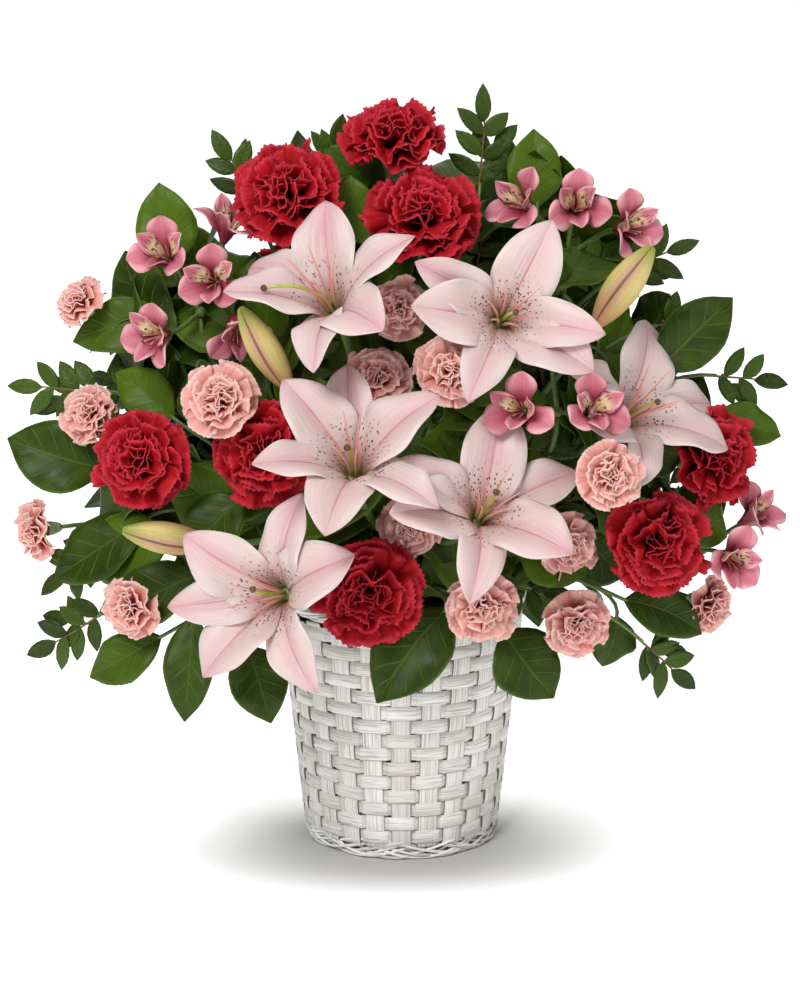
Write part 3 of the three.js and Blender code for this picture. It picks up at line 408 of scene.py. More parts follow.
def addQuads(skin, quads, look):
    skin["quads"].append(quads.reshape(-1, 4))
    skin["quadLook"].append(np.full(quads.size // 4, look))


def addTriangles(skin, triangles, look):
    skin["triangles"].append(triangles.reshape(-1, 3))
    skin["triangleLook"].append(np.full(triangles.size // 3, look))


def normalsOf(grid):
    normal = np.cross(np.gradient(grid, axis=1), np.gradient(grid, axis=0))
    return normal / np.maximum(np.linalg.norm(normal, axis=2, keepdims=True), 1e-9)


def addSheet(skin, grid, where, thickness, look=0):
    # a thin closed body round a grid of points
    rows, columns = grid.shape[:2]
    shift = normalsOf(grid) * thickness / 2
    first = addPoints(skin, grid + shift, where.reshape(-1, 3))
    under = addPoints(skin, grid - shift, where.reshape(-1, 3)) - first
    index = first + np.arange(rows * columns).reshape(rows, columns)
    upper = np.stack((index[:-1, :-1], index[:-1, 1:], index[1:, 1:], index[1:, :-1]), -1)
    addQuads(skin, upper, look)
    addQuads(skin, upper[..., ::-1] + under, look)
    edge = np.concatenate((index[0, :-1], index[:-1, -1], index[-1, :0:-1], index[:0:-1, 0]))
    after = np.roll(edge, -1)
    addQuads(skin, np.stack((after, edge, edge + under, after + under), -1), look)


def addRings(skin, rings, where, look=0, start=None, end=None):
    # rings of points from one end to the other, closed by a point at each end, or joined end to start
    count, sides = rings.shape[:2]
    first = addPoints(skin, rings, where.reshape(-1, 3))
    index = first + np.arange(count * sides).reshape(count, sides)
    after = np.roll(index, -1, axis=1)
    if start is None:
        nextIndex, nextAfter = np.roll(index, -1, axis=0), np.roll(after, -1, axis=0)
        addQuads(skin, np.stack((index, after, nextAfter, nextIndex), -1), look)
        return
    addQuads(skin, np.stack((index[:-1], after[:-1], after[1:], index[1:]), -1), look)
    tip = addPoints(skin, [start, end], [where[0, 0], where[-1, 0]])
    addTriangles(skin, np.stack((np.full(sides, tip), after[0], index[0]), -1), look)
    addTriangles(skin, np.stack((np.full(sides, tip + 1), index[-1], after[-1]), -1), look)


def addTube(skin, path, radii, sides, look, tone=0.5):
    # a round stem along a path, with a blunt point at each end
    path = np.asarray(path, float)
    radii = np.broadcast_to(np.asarray(radii, float), len(path))
    way = np.gradient(path, axis=0)
    way /= np.linalg.norm(way, axis=1, keepdims=True)
    side = np.cross(way[0], (0.3, 0.5, 0.8))
    angle = np.linspace(0, 2 * np.pi, sides, endpoint=False)[:, None]
    rings, where = [], []
    for place, (point, along, radius) in enumerate(zip(path, way, radii)):
        side = side - along * side.dot(along)
        side /= np.linalg.norm(side)
        rings.append(point + radius * (np.cos(angle) * side + np.sin(angle) * np.cross(along, side)))
        where.append([(math.cos(a), place / (len(path) - 1), tone) for a in angle[:, 0]])
    start, end = path[0] - way[0] * radii[0] * 0.3, path[-1] + way[-1] * radii[-1] * 0.5
    addRings(skin, np.array(rings), np.array(where), look, start, end)


def bezier(a, b, c, d, steps):
    t = np.linspace(0, 1, steps)[:, None]
    return (1 - t) ** 3 * a + 3 * (1 - t) ** 2 * t * b + 3 * (1 - t) * t ** 2 * c + t ** 3 * d


def curveThrough(*knots):
    # a smooth curve through (x, y) knots
    xs, ys = np.array(knots, float).T
    slopes = np.gradient(ys, xs)

    def at(x):
        i = np.clip(np.searchsorted(xs, x, side="right") - 1, 0, len(xs) - 2)
        step = xs[i + 1] - xs[i]
        t = (x - xs[i]) / step
        rise = (3 * t ** 2 - 2 * t ** 3) * (ys[i + 1] - ys[i])
        return ys[i] + rise + step * ((t ** 3 - 2 * t ** 2 + t) * slopes[i] + (t ** 3 - t ** 2) * slopes[i + 1])
    return at


upward = np.array((0.0, 0.0, 1.0))


def unit(v):
    return np.asarray(v, float) / np.linalg.norm(v)


def facing(yaw, pitch):
    # the way that a flower faces: yaw from the front, pitch up
    level = math.cos(math.radians(pitch))
    turn = math.radians(yaw)
    return np.array((math.sin(turn) * level, -math.cos(turn) * level, math.sin(math.radians(pitch))))


def standAt(points, place):
    # from a bloom's own axes, +Z the way that it faces, to where it stands
    out = facing(place["yaw"], place["pitch"])
    right = np.array((math.cos(math.radians(place["yaw"])), math.sin(math.radians(place["yaw"])), 0))
    spin = math.radians(place.get("spin", 0))
    turn = np.array(((math.cos(spin), -math.sin(spin), 0), (math.sin(spin), math.cos(spin), 0), (0, 0, 1)))
    return points @ (np.column_stack((right, np.cross(out, right), out)) @ turn).T + np.array(place["at"], float)


def standSkin(skin, place, first=0):
    # moves to its place what was added since a given count of parts
    skin["points"][first:] = [standAt(points, place) for points in skin["points"][first:]]


def makePiece(name, skin, looks, nodes):
    mesh = bpy.data.meshes.new(name)
    quads = np.concatenate(skin["quads"])
    triangles = np.concatenate(skin["triangles"]) if skin["triangles"] else np.zeros((0, 3), int)
    points = np.concatenate(skin["points"]) / 1000
    mesh.from_pydata(points.tolist(), [], quads.tolist() + triangles.tolist())
    look = np.concatenate([*skin["quadLook"], *skin["triangleLook"]])
    mesh.polygons.foreach_set("material_index", look.astype(np.int32))
    where = mesh.attributes.new("where", "FLOAT_VECTOR", "POINT")
    where.data.foreach_set("vector", np.concatenate(skin["where"]).astype(np.float32).ravel())
    mesh.shade_smooth()
    for material in looks:
        mesh.materials.append(material)
    piece = bpy.data.objects.new(name, mesh)
    bpy.context.collection.objects.link(piece)
    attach(piece, "root")
    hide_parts(*nodes)


# petals and leaves
spineSteps = 200
petalSkin = {"crowding": 1.35, "slant": 0.12, "lag": 1.7}  # columns crowd to the rib; edges wave out of step
frillSkin = {"start": 0.1, "crowding": 0.75, "sizes": (0.88, 1.04), "neck": 0.75}


def spineAt(share, form, endLean):
    # how far out and how high a petal's rib is, and its lean from the flower's axis
    fine = np.linspace(0, 1, spineSteps + 1)
    lean = np.radians(form["startLean"] + (endLean - form["startLean"]) * fine ** form["growth"])
    step = form["length"] / spineSteps
    between = lean[1:] - np.diff(lean) / 2
    out = form["root"] + np.concatenate(((0,), np.cumsum(np.sin(between)) * step))
    high = -form["depth"] + np.concatenate(((0,), np.cumsum(np.cos(between)) * step))
    past = np.maximum(share - 1, 0) * form["length"]
    leanAt = np.interp(share, fine, lean)
    return (np.interp(share, fine, out) + past * np.sin(leanAt),
            np.interp(share, fine, high) + past * np.cos(leanAt), leanAt)


def whereOn(across, along, tone):
    return np.stack(np.broadcast_arrays(across, along, tone), -1)


def addPetal(skin, spine, side, lift, roll, azimuth, where, thickness, look=0):
    # a petal's sheet, rolled about its spine and turned to its place round the flower
    out, high, lean = spine
    side, lift = side * np.cos(roll) - lift * np.sin(roll), lift * np.cos(roll) + side * np.sin(roll)
    out, side, high = np.broadcast_arrays(out - np.cos(lean) * lift, side, high + np.sin(lean) * lift)
    grid = np.stack((out * math.cos(azimuth) - side * math.sin(azimuth),
                     out * math.sin(azimuth) + side * math.cos(azimuth), high), -1)
    addSheet(skin, grid, where, thickness, look)


def tepal(skin, form, shape, azimuth, draw, look=0):
    # one of the six petals of a lily or an alstroemeria, grooved along its rib and waved at its edges
    along = np.linspace(0, 1, form["rows"])[:, None]
    across = np.linspace(-1, 1, form["columns"])[None, :]
    across = np.sign(across) * np.abs(across) ** petalSkin["crowding"]
    half = shape["width"] / 2 * shape["outline"](along)
    side = across * half
    out, high, lean = spineAt(along, form, shape["lean"])
    groove = form["groove"]
    lift = shape["fold"](along) * (np.sqrt(side ** 2 + groove ** 2) - groove)
    lift = lift + form["bulge"] * np.sin(np.pi * np.abs(across)) * np.sin(np.pi * along)
    lift = lift - shape["curl"] * half * np.abs(across) ** 3 * along
    phase = draw.uniform(0, 6.3)
    ruffle = 2 * np.pi * (form["waves"] * along + petalSkin["slant"] * across) + phase
    ruffle = np.sin(ruffle + np.where(across > 0, petalSkin["lag"], 0))
    lift = lift + form["ruffle"] * ruffle * across ** 2 * np.sin(np.pi * along) ** 0.7
    side = side + draw.uniform(-1, 1) * form["bend"] * along ** 2
    addPetal(skin, (out, high, lean), side, lift, draw.uniform(-1, 1) * form["twist"] * along, azimuth,
             whereOn(across, along, draw.random()), form["thickness"], look)


def frillPetal(skin, form, tier, azimuth, draw):
    # a carnation petal: a fan with a pleated blade and a toothed edge
    teeth = form["teeth"]
    along = (np.linspace(frillSkin["start"], 1, form["rows"]) ** frillSkin["crowding"])[:, None]
    across = np.linspace(-1, 1, 2 * teeth + 1)[None, :]
    tooth = np.array([[draw.uniform(0.3, 1) * (1 if i % 2 else -1) for i in range(2 * teeth + 1)]])
    size = tier["size"] * draw.uniform(*frillSkin["sizes"])
    angle = across * math.radians(tier["fan"]) * (frillSkin["neck"] + (1 - frillSkin["neck"]) * along)
    reach = along * (1 + form["tooth"] * tooth * along ** 8)
    endLean = tier["end"] + draw.uniform(-1, 1) * form["jitter"]
    form = form | {"startLean": tier["start"], "growth": tier["growth"]}
    out, high, lean = spineAt(size * reach * np.cos(angle), form, endLean)
    side = size * form["length"] * reach * np.sin(angle)
    slow, quick = draw.uniform(*form["folds"]), draw.uniform(*form["frills"])
    pleat = form["pleat"] * along ** 1.5 * np.sin(np.pi * slow * across + draw.uniform(0, 6.3))
    pleat = pleat + form["crimp"] * along ** 3 * np.sin(np.pi * quick * across + draw.uniform(0, 6.3))
    lift = pleat * form["length"] * 0.5
    addPetal(skin, (out, high, lean), side, lift, draw.uniform(-1, 1) * form["roll"] * along, azimuth,
             whereOn(across, along, draw.random()), form["thickness"])


def leafBlade(skin, base, tip, width, face, form, draw, look=0, tone=None):
    # a leaf from base to tip, folded a little along its rib, arched and waved
    base, tip = np.array(base, float), np.array(tip, float)
    length = np.linalg.norm(tip - base)
    way = unit(tip - base)
    normal = unit(face - way * face.dot(way))
    aside = np.cross(way, normal)
    along = (0.5 - 0.5 * np.cos(np.pi * np.linspace(0, 1, form["rows"])))[:, None]
    across = np.linspace(-1, 1, form["columns"])[None, :]
    half = width / 2 * form["outline"](along)
    side = across * half
    lift = 4 * form["arch"] * along * (1 - along) * length
    lift = lift + form["fold"] * (np.abs(side) - 0.5 * half) - form["curl"] * half * across ** 4
    phase = draw.uniform(0, 6.3)
    wave = np.sin(2 * np.pi * form["waves"] * along + phase + np.where(across > 0, 2, 0))
    lift = lift + form["wave"] * wave * across ** 2 * np.sin(np.pi * along)
    swing = draw.uniform(-1, 1) * form["swing"] * length * np.sin(np.pi * along)
    grid = base + way * (along * length)[..., None] + aside * (side + swing)[..., None] + normal * lift[..., None]
    own = draw.random()
    addSheet(skin, grid, whereOn(across, along, own if tone is None else tone), form["thickness"], look)


# lilies
lilyPlaces = [  # petals: each one's turn from its even place, and its lean at the tip
    {"name": "lily_top_left", "at": [-49.8, -120, 431], "yaw": -26, "pitch": 48, "spin": 95,
     "petals": [[9, 88], [5, 122], [-7, 70], [13, 103], [-7, 94], [1, 91]], "style": (112, 38, 50)},
    {"name": "lily_top_right", "at": [72, -116, 420.5], "yaw": 6, "pitch": 20, "spin": 65,
     "petals": [[-1, 85], [25, 92], [-5, 79], [-1, 85], [17, 88], [-19, 78]]},
    {"name": "lily_middle", "at": [-33.7, -168, 324.4], "yaw": -7, "pitch": 48, "spin": 145,
     "petals": [[-9, 76], [-1, 79], [-1, 97], [-1, 109], [7, 85], [13, 104]]},
    {"name": "lily_middle_right", "at": [57, -160, 288.5], "yaw": 16, "pitch": 36, "spin": 75,
     "petals": [[1, 98], [17, 92], [-11, 95], [-3, 106], [-5, 76], [1, 118]]},
    {"name": "lily_low_left", "at": [-88.7, -150, 227.5], "yaw": -28, "pitch": 12, "spin": 135,
     "petals": [[13, 86], [1, 84], [-13, 86], [-11, 118], [15, 106], [-3, 109]]},
    {"name": "lily_right", "at": [163.4, -84, 343], "yaw": 44, "pitch": 36, "spin": 68,
     "petals": [[-13, 100], [23, 94], [0, 92], [-13, 98], [11, 96], [-13, 112]]},
]
lilyForm = {"rows": 26, "columns": 15, "length": 88, "root": 4, "depth": 16, "startLean": 16, "growth": 0.8,
            "thickness": 0.7, "groove": 1.2, "bulge": 1.8, "waves": 2.3, "ruffle": 2.8, "bend": 3.5, "twist": 0.22}
lilyOutline = curveThrough((0, 0.14), (0.1, 0.22), (0.25, 0.62), (0.4, 0.92), (0.52, 1), (0.65, 0.95),
                           (0.78, 0.76), (0.88, 0.5), (0.95, 0.26), (1, 0.02))
lilyFold = curveThrough((0, 0.45), (0.5, 0.4), (1, 0.3))
lilyPetals = {
    "inner": {"width": 47, "outline": lilyOutline, "fold": lilyFold, "curl": 0.16},
    "outer": {"width": 36, "outline": lilyOutline, "fold": lilyFold, "curl": 0.12},
}
stamens = {"count": 6, "base": 2.2, "foot": -14, "length": 56, "radius": 1.4, "tip": 0.4, "leanStart": 6,
           "leanEnd": 22, "steps": 8}
pistil = {"foot": -14, "length": 44, "radii": (1.56, 1.08), "stigma": 2.6, "sway": 5, "bend": 2.2, "rise": 1.45}
receptacle = {"bottom": -19.4, "top": -12, "radii": (3.588, 4.6)}


def smallKnob(skin, centre, radius, way, look, tone=0.5):
    # a rounded knob, pointed a little the way that it grows
    way = unit(way)
    share = np.linspace(0.12, 0.88, 5)
    path = np.asarray(centre) + way * ((share - 0.5) * 2 * radius)[:, None]
    addTube(skin, path, radius * np.sin(np.pi * share) ** 0.6, 10, look, tone)


def makeLily(place):
    draw = random.Random(place["name"])
    skin = newSkin()
    for i in range(6):
        kind = "outer" if i % 2 else "inner"
        turn, lean = place["petals"][i]
        tepal(skin, lilyForm, lilyPetals[kind] | {"lean": lean}, math.radians(60 * i + turn), draw)
    for i in range(stamens["count"]):
        azimuth = math.radians(60 * i + 30 + draw.uniform(-10, 10))
        out = np.array((math.cos(azimuth), math.sin(azimuth), 0))
        lean = np.linspace(stamens["leanStart"], stamens["leanEnd"] + draw.uniform(-6, 8), stamens["steps"] + 1)
        lean = np.radians(lean)
        step = stamens["length"] * draw.uniform(0.92, 1.04) / stamens["steps"]
        path = out * (stamens["base"] + np.cumsum(np.sin(lean)) * step)[:, None]
        path = path + upward * (np.cumsum(np.cos(lean)) * step + stamens["foot"])[:, None]
        addTube(skin, path, np.linspace(stamens["radius"], stamens["tip"], len(path)), 6, 1, draw.random())
    turn, sway, length = place.get("style", (draw.uniform(0, 360), pistil["sway"], pistil["length"]))
    share = np.linspace(0, 1, 9)
    turn = math.radians(turn)
    drift = share ** pistil["bend"] * sway
    high = np.sin(pistil["rise"] * share) * length + pistil["foot"]
    path = np.stack((drift * math.cos(turn), drift * math.sin(turn), high), -1)
    addTube(skin, path, np.linspace(*pistil["radii"], len(path)), 7, 4)
    smallKnob(skin, path[-1], pistil["stigma"], path[-1] - path[-2], 2)
    path = np.linspace((0, 0, receptacle["bottom"]), (0, 0, receptacle["top"]), 5)
    addTube(skin, path, np.linspace(*receptacle["radii"], len(path)), 12, 3)
    standSkin(skin, place)
    looks = [lilyPetal, filamentFinish, stigmaFinish, calyxFinish, styleFinish]
    makePiece(place["name"] + "_bloom", skin, looks, [place["name"]])


for place in lilyPlaces:
    makeLily(place)
print("lilies made")

# lily buds: three lobes with seams between them
budPlaces = [
    {"name": "lily_bud_left", "base": [-80, -96, 366], "tip": [-114, -118, 429], "radius": 12.5},
    {"name": "lily_bud_right", "base": [139, -92, 411], "tip": [179, -92, 469], "radius": 13.5},
    {"name": "lily_bud_low", "base": [-139, -106, 254], "tip": [-201, -118, 267], "radius": 12.5},
]
budForm = {"rings": 22, "sides": 48, "fullness": 0.75, "lobe": 0.07, "start": 0.06, "span": 0.9, "slim": 0.94,
           "seam": 0.16, "seamWidth": 0.17, "twist": 0.3}


def makeBud(place):
    base, tip = np.array(place["base"], float), np.array(place["tip"], float)
    length = np.linalg.norm(tip - base)
    way = unit(tip - base)
    share = np.linspace(0.01, 0.99, budForm["rings"])[:, None]
    angle = np.linspace(0, 2 * np.pi, budForm["sides"], endpoint=False)[None, :]
    belly = np.sin(np.pi * (budForm["start"] + budForm["span"] * share)) ** budForm["fullness"]
    girth = budForm["slim"] * place["radius"] * belly
    seam, band = np.cos(1.5 * angle), np.cos(3 * angle)
    lobes = 1 + budForm["lobe"] * band - budForm["seam"] * np.exp(-(seam / budForm["seamWidth"]) ** 2)
    side = unit(np.cross(way, (0, 1, 0)))
    over = np.cross(way, side)
    angle = angle + budForm["twist"] * share
    rings = base + way * (share * length)[..., None] + (girth * lobes)[..., None] * (
        np.cos(angle)[..., None] * side + np.sin(angle)[..., None] * over)
    skin = newSkin()
    addRings(skin, rings, whereOn(np.abs(seam), share, 0.5 + 0.5 * band), 0, base, tip)
    makePiece(place["name"] + "_skin", skin, [budSkin], [place["name"]])


for place in budPlaces:
    makeBud(place)
print("buds made")

# carnations: rings of frilled petals, the outer ones flat and the inner ones upright
carnationPlaces = [
    {"name": "carnation_top", "at": [-5, -20, 541], "yaw": 0, "pitch": 68, "radius": 39},
    {"name": "carnation_top_left", "at": [-84, -50, 503], "yaw": -20, "pitch": 45, "radius": 41},
    {"name": "carnation_top_front", "at": [16, -62, 488], "yaw": 5, "pitch": 48, "radius": 44},
    {"name": "carnation_left", "at": [-190, -92, 312], "yaw": -25, "pitch": 8, "radius": 37},
    {"name": "carnation_mid_left", "at": [-100, -104, 321], "yaw": -12, "pitch": 12, "radius": 38},
    {"name": "carnation_low", "at": [-23, -130, 222], "yaw": 4, "pitch": 0, "radius": 40},
    {"name": "carnation_low_right", "at": [187, -104, 255], "yaw": 25, "pitch": 5, "radius": 39},
    {"name": "carnation_right", "at": [232, -52, 307], "yaw": 48, "pitch": 12, "radius": 39},
    {"name": "carnation_back_left", "at": [-90, 92, 420], "yaw": -150, "pitch": 36, "radius": 39},
    {"name": "carnation_back_right", "at": [92, 104, 340], "yaw": 145, "pitch": 18, "radius": 39},
]
carnationForm = {"teeth": 15, "rows": 12, "tooth": 0.025, "pleat": 0.3, "crimp": 0.07, "folds": (0.9, 2.3),
                 "frills": (3.5, 6.5), "jitter": 19, "roll": 0.48, "thickness": 0.5, "narrow": 0.1, "deep": 0.42}
carnationTiers = [
    {"count": 7, "size": 1.05, "fan": 40, "start": 32, "end": 102, "growth": 0.8},
    {"count": 6, "size": 1.02, "fan": 40, "start": 22, "end": 96, "growth": 1.0},
    {"count": 5, "size": 0.98, "fan": 40, "start": 12, "end": 88, "growth": 1.3},
    {"count": 4, "size": 0.95, "fan": 40, "start": 6, "end": 78, "growth": 1.7},
    {"count": 4, "size": 0.92, "fan": 36, "start": 0, "end": 62, "growth": 2.2},
    {"count": 4, "size": 0.88, "fan": 34, "start": -6, "end": 40, "growth": 2.2},
    {"count": 3, "size": 0.8, "fan": 34, "start": -16, "end": 16, "growth": 1.6},
]

sprayPlaces = [
    {"name": "spray_carnation_01", "at": [-240, -18, 418], "yaw": -50, "pitch": 38, "radius": 21},
    {"name": "spray_carnation_02", "at": [-232, -46, 338], "yaw": -40, "pitch": 22, "radius": 25},
    {"name": "spray_carnation_03", "at": [-130, -112, 362], "yaw": -10, "pitch": 30, "radius": 28},
    {"name": "spray_carnation_04", "at": [-1, -92, 425], "yaw": 5, "pitch": 22, "radius": 23},
    {"name": "spray_carnation_05", "at": [-17, -112, 377], "yaw": -6, "pitch": 30, "radius": 26},
    {"name": "spray_carnation_06", "at": [34, -136, 387], "yaw": 8, "pitch": 20, "radius": 25},
    {"name": "spray_carnation_07", "at": [-276, -28, 245], "yaw": -58, "pitch": 0, "radius": 23},
    {"name": "spray_carnation_08", "at": [-199, -95, 202], "yaw": -35, "pitch": -8, "radius": 24},
    {"name": "spray_carnation_09", "at": [6, -112, 268], "yaw": -10, "pitch": 0, "radius": 24},
    {"name": "spray_carnation_10", "at": [57, -132, 213], "yaw": 5, "pitch": -6, "radius": 28},
    {"name": "spray_carnation_11", "at": [127, -122, 197], "yaw": 15, "pitch": -8, "radius": 25},
    {"name": "spray_carnation_12", "at": [146, -174, 320], "yaw": 14, "pitch": 8, "radius": 24},
    {"name": "spray_carnation_13", "at": [122, -106, 252], "yaw": 25, "pitch": 0, "radius": 24},
    {"name": "spray_carnation_14", "at": [232, -56, 194], "yaw": 50, "pitch": -8, "radius": 23},
    {"name": "spray_carnation_15", "at": [-172, 70, 300], "yaw": -118, "pitch": 14, "radius": 25},
    {"name": "spray_carnation_16", "at": [176, 72, 262], "yaw": 120, "pitch": 8, "radius": 25},
    {"name": "spray_carnation_17", "at": [14, 112, 392], "yaw": 176, "pitch": 40, "radius": 25},
]
sprayForm = carnationForm | {"teeth": 12, "rows": 10, "tooth": 0.014, "pleat": 0.25, "crimp": 0.075,
                             "folds": (1.0, 2.4), "frills": (3.6, 6.0), "jitter": 16, "roll": 0.4}
sprayTiers = [
    {"count": 6, "size": 1.04, "fan": 42, "start": 32, "end": 100, "growth": 0.8},
    {"count": 5, "size": 1.0, "fan": 41, "start": 20, "end": 92, "growth": 1.1},
    {"count": 5, "size": 0.96, "fan": 38, "start": 10, "end": 82, "growth": 1.5},
    {"count": 4, "size": 0.92, "fan": 35, "start": 2, "end": 66, "growth": 2.0},
    {"count": 4, "size": 0.87, "fan": 32, "start": -6, "end": 40, "growth": 2.2},
    {"count": 3, "size": 0.8, "fan": 34, "start": -16, "end": 16, "growth": 1.6},
]


def makeCarnation(place, form, tiers, finish):
    draw = random.Random(place["name"])
    radius = place["radius"]
    form = form | {"length": radius, "root": form["narrow"] * radius, "depth": form["deep"] * radius}
    skin = newSkin()
    for tier in tiers:
        first = draw.uniform(0, 6.3)
        for i in range(tier["count"]):
            azimuth = first + 2 * math.pi * (i + draw.uniform(-0.15, 0.15)) / tier["count"]
            frillPetal(skin, form, tier, azimuth, draw)
    standSkin(skin, place)
    makePiece(place["name"] + "_petals", skin, [finish], [place["name"]])


for place in carnationPlaces:
    makeCarnation(place, carnationForm, carnationTiers, carnationPetal)
for place in sprayPlaces:
    makeCarnation(place, sprayForm, sprayTiers, sprayPetal)
print("carnations made")

# alstroemerias: small lilies on short stalks from one knob
alstroemeriaPlaces = [
    {"name": "alstroemeria_far_left", "at": [-148, -34, 412], "blooms": [
        {"at": [-172, -50, 456], "yaw": -22, "pitch": 30, "spin": 270},
        {"at": [-177, -72, 401], "yaw": -38, "pitch": 0, "spin": 250},
    ]},
    {"name": "alstroemeria_left", "at": [-118, -30, 424], "blooms": [
        {"at": [-128, -36, 474], "yaw": 30, "pitch": 62, "spin": 220},
        {"at": [-136, -70, 440], "yaw": -10, "pitch": 10, "spin": 270},
        {"at": [-118, -80, 408], "yaw": 20, "pitch": -35, "spin": 280},
    ]},
    {"name": "alstroemeria_top_right", "at": [122, -22, 452], "blooms": [
        {"at": [88, -42, 492], "yaw": -40, "pitch": 25, "spin": 260},
        {"at": [126, -58, 492], "yaw": 6, "pitch": 24, "spin": 270},
        {"at": [164, -46, 476], "yaw": 42, "pitch": 12, "spin": 280},
    ]},
    {"name": "alstroemeria_middle", "at": [112, -98, 350], "blooms": [
        {"at": [84, -150, 361], "yaw": -20, "pitch": 14, "spin": 270},
        {"at": [134, -150, 361], "yaw": 18, "pitch": 20, "spin": 270},
        {"at": [108, -106, 396], "yaw": 0, "pitch": 66, "spin": 210},
    ]},
    {"name": "alstroemeria_right", "at": [226, -34, 232], "blooms": [
        {"at": [262, -40, 258], "yaw": 58, "pitch": 34, "spin": 270},
        {"at": [242, -70, 234], "yaw": 24, "pitch": -4, "spin": 250},
    ]},
    {"name": "alstroemeria_back", "at": [-30, 92, 296], "blooms": [
        {"at": [-60, 125, 312], "yaw": -165, "pitch": 20, "spin": 270},
        {"at": [-8, 130, 290], "yaw": 172, "pitch": 4, "spin": 240},
    ]},
]
alstroemeriaForm = {"rows": 15, "columns": 11, "length": 35, "root": 2.6, "depth": 12, "startLean": 10,
                    "growth": 0.8, "thickness": 0.6, "groove": 0.7, "bulge": 0.7, "waves": 1.4, "ruffle": 2.3,
                    "bend": 2.6, "twist": 0.42}
alstroemeriaPetals = {
    "outer": {"width": 23, "lean": 74, "fold": curveThrough((0, 0.5), (0.5, 0.34), (1, 0.2)), "curl": 0.16,
              "outline": curveThrough((0, 0.16), (0.2, 0.26), (0.45, 0.66), (0.64, 0.96), (0.75, 1), (0.88, 0.74),
                                      (0.96, 0.34), (1, 0.06))},
    "inner": {"width": 15.5, "lean": 40, "fold": curveThrough((0, 0.45), (0.5, 0.35), (1, 0.2)), "curl": 0.05,
              "outline": curveThrough((0, 0.2), (0.2, 0.36), (0.45, 0.82), (0.62, 1), (0.8, 0.8), (0.93, 0.36),
                                      (1, 0.03))},
}
filament = {"root": 1, "spread": 5, "bend": 1.5, "rise": 22, "foot": -11, "radius": 0.5, "anther": 1.1}
umbel = {"radius": 4.5, "stalk": 1.8, "neck": 1.9, "depth": 12, "ovary": 3.1, "ovaryAhead": 2.5}


def makeAlstroemeria(place):
    draw = random.Random(place["name"])
    skin = newSkin()
    for bloom in place["blooms"]:
        first = len(skin["points"])
        for i in range(6):
            azimuth = math.radians(60 * i + draw.uniform(-8, 8))
            shape = alstroemeriaPetals["outer" if i % 2 else "inner"]
            shape = shape | {"lean": shape["lean"] + draw.uniform(-14, 14)}
            tepal(skin, alstroemeriaForm, shape, azimuth, draw, 1 if i in (2, 4) else 0)
        for i in range(6):
            azimuth = math.radians(60 * i + 30 + draw.uniform(-12, 12))
            out = np.array((math.cos(azimuth), math.sin(azimuth), 0))
            share = np.linspace(0, 1, 6)[:, None]
            path = out * (filament["root"] + filament["spread"] * share ** filament["bend"])
            high = filament["rise"] * share + filament["foot"]
            path = path + upward * high * draw.uniform(0.85, 1.05)
            addTube(skin, path, filament["radius"], 5, 2, draw.random())
            smallKnob(skin, path[-1], filament["anther"], out + upward, 3)
        standSkin(skin, bloom, first)
        face = facing(bloom["yaw"], bloom["pitch"])
        start = np.array(place["at"], float)
        end = np.array(bloom["at"]) - face * (umbel["depth"] + umbel["neck"])
        addTube(skin, stemCurve(start, end, face, 0, 12), umbel["stalk"], 8, 4, draw.random())
        smallKnob(skin, end + face * umbel["ovaryAhead"], umbel["ovary"], face, 4)
    smallKnob(skin, place["at"], umbel["radius"], upward, 4)
    looks = [alstroemeriaOuter, alstroemeriaInner, filamentFinish, stigmaFinish, greenStem]
    makePiece(place["name"] + "_cluster", skin, looks, [place["name"]])


def stemCurve(start, end, arriving, lift, steps):
    reach = np.linalg.norm(end - start)
    leaving = unit(unit(end - start) + upward * lift)
    return bezier(start, start + leaving * reach * 0.36, end - arriving * reach * 0.3, end, steps)


for place in alstroemeriaPlaces:
    makeAlstroemeria(place)
print("alstroemerias made")

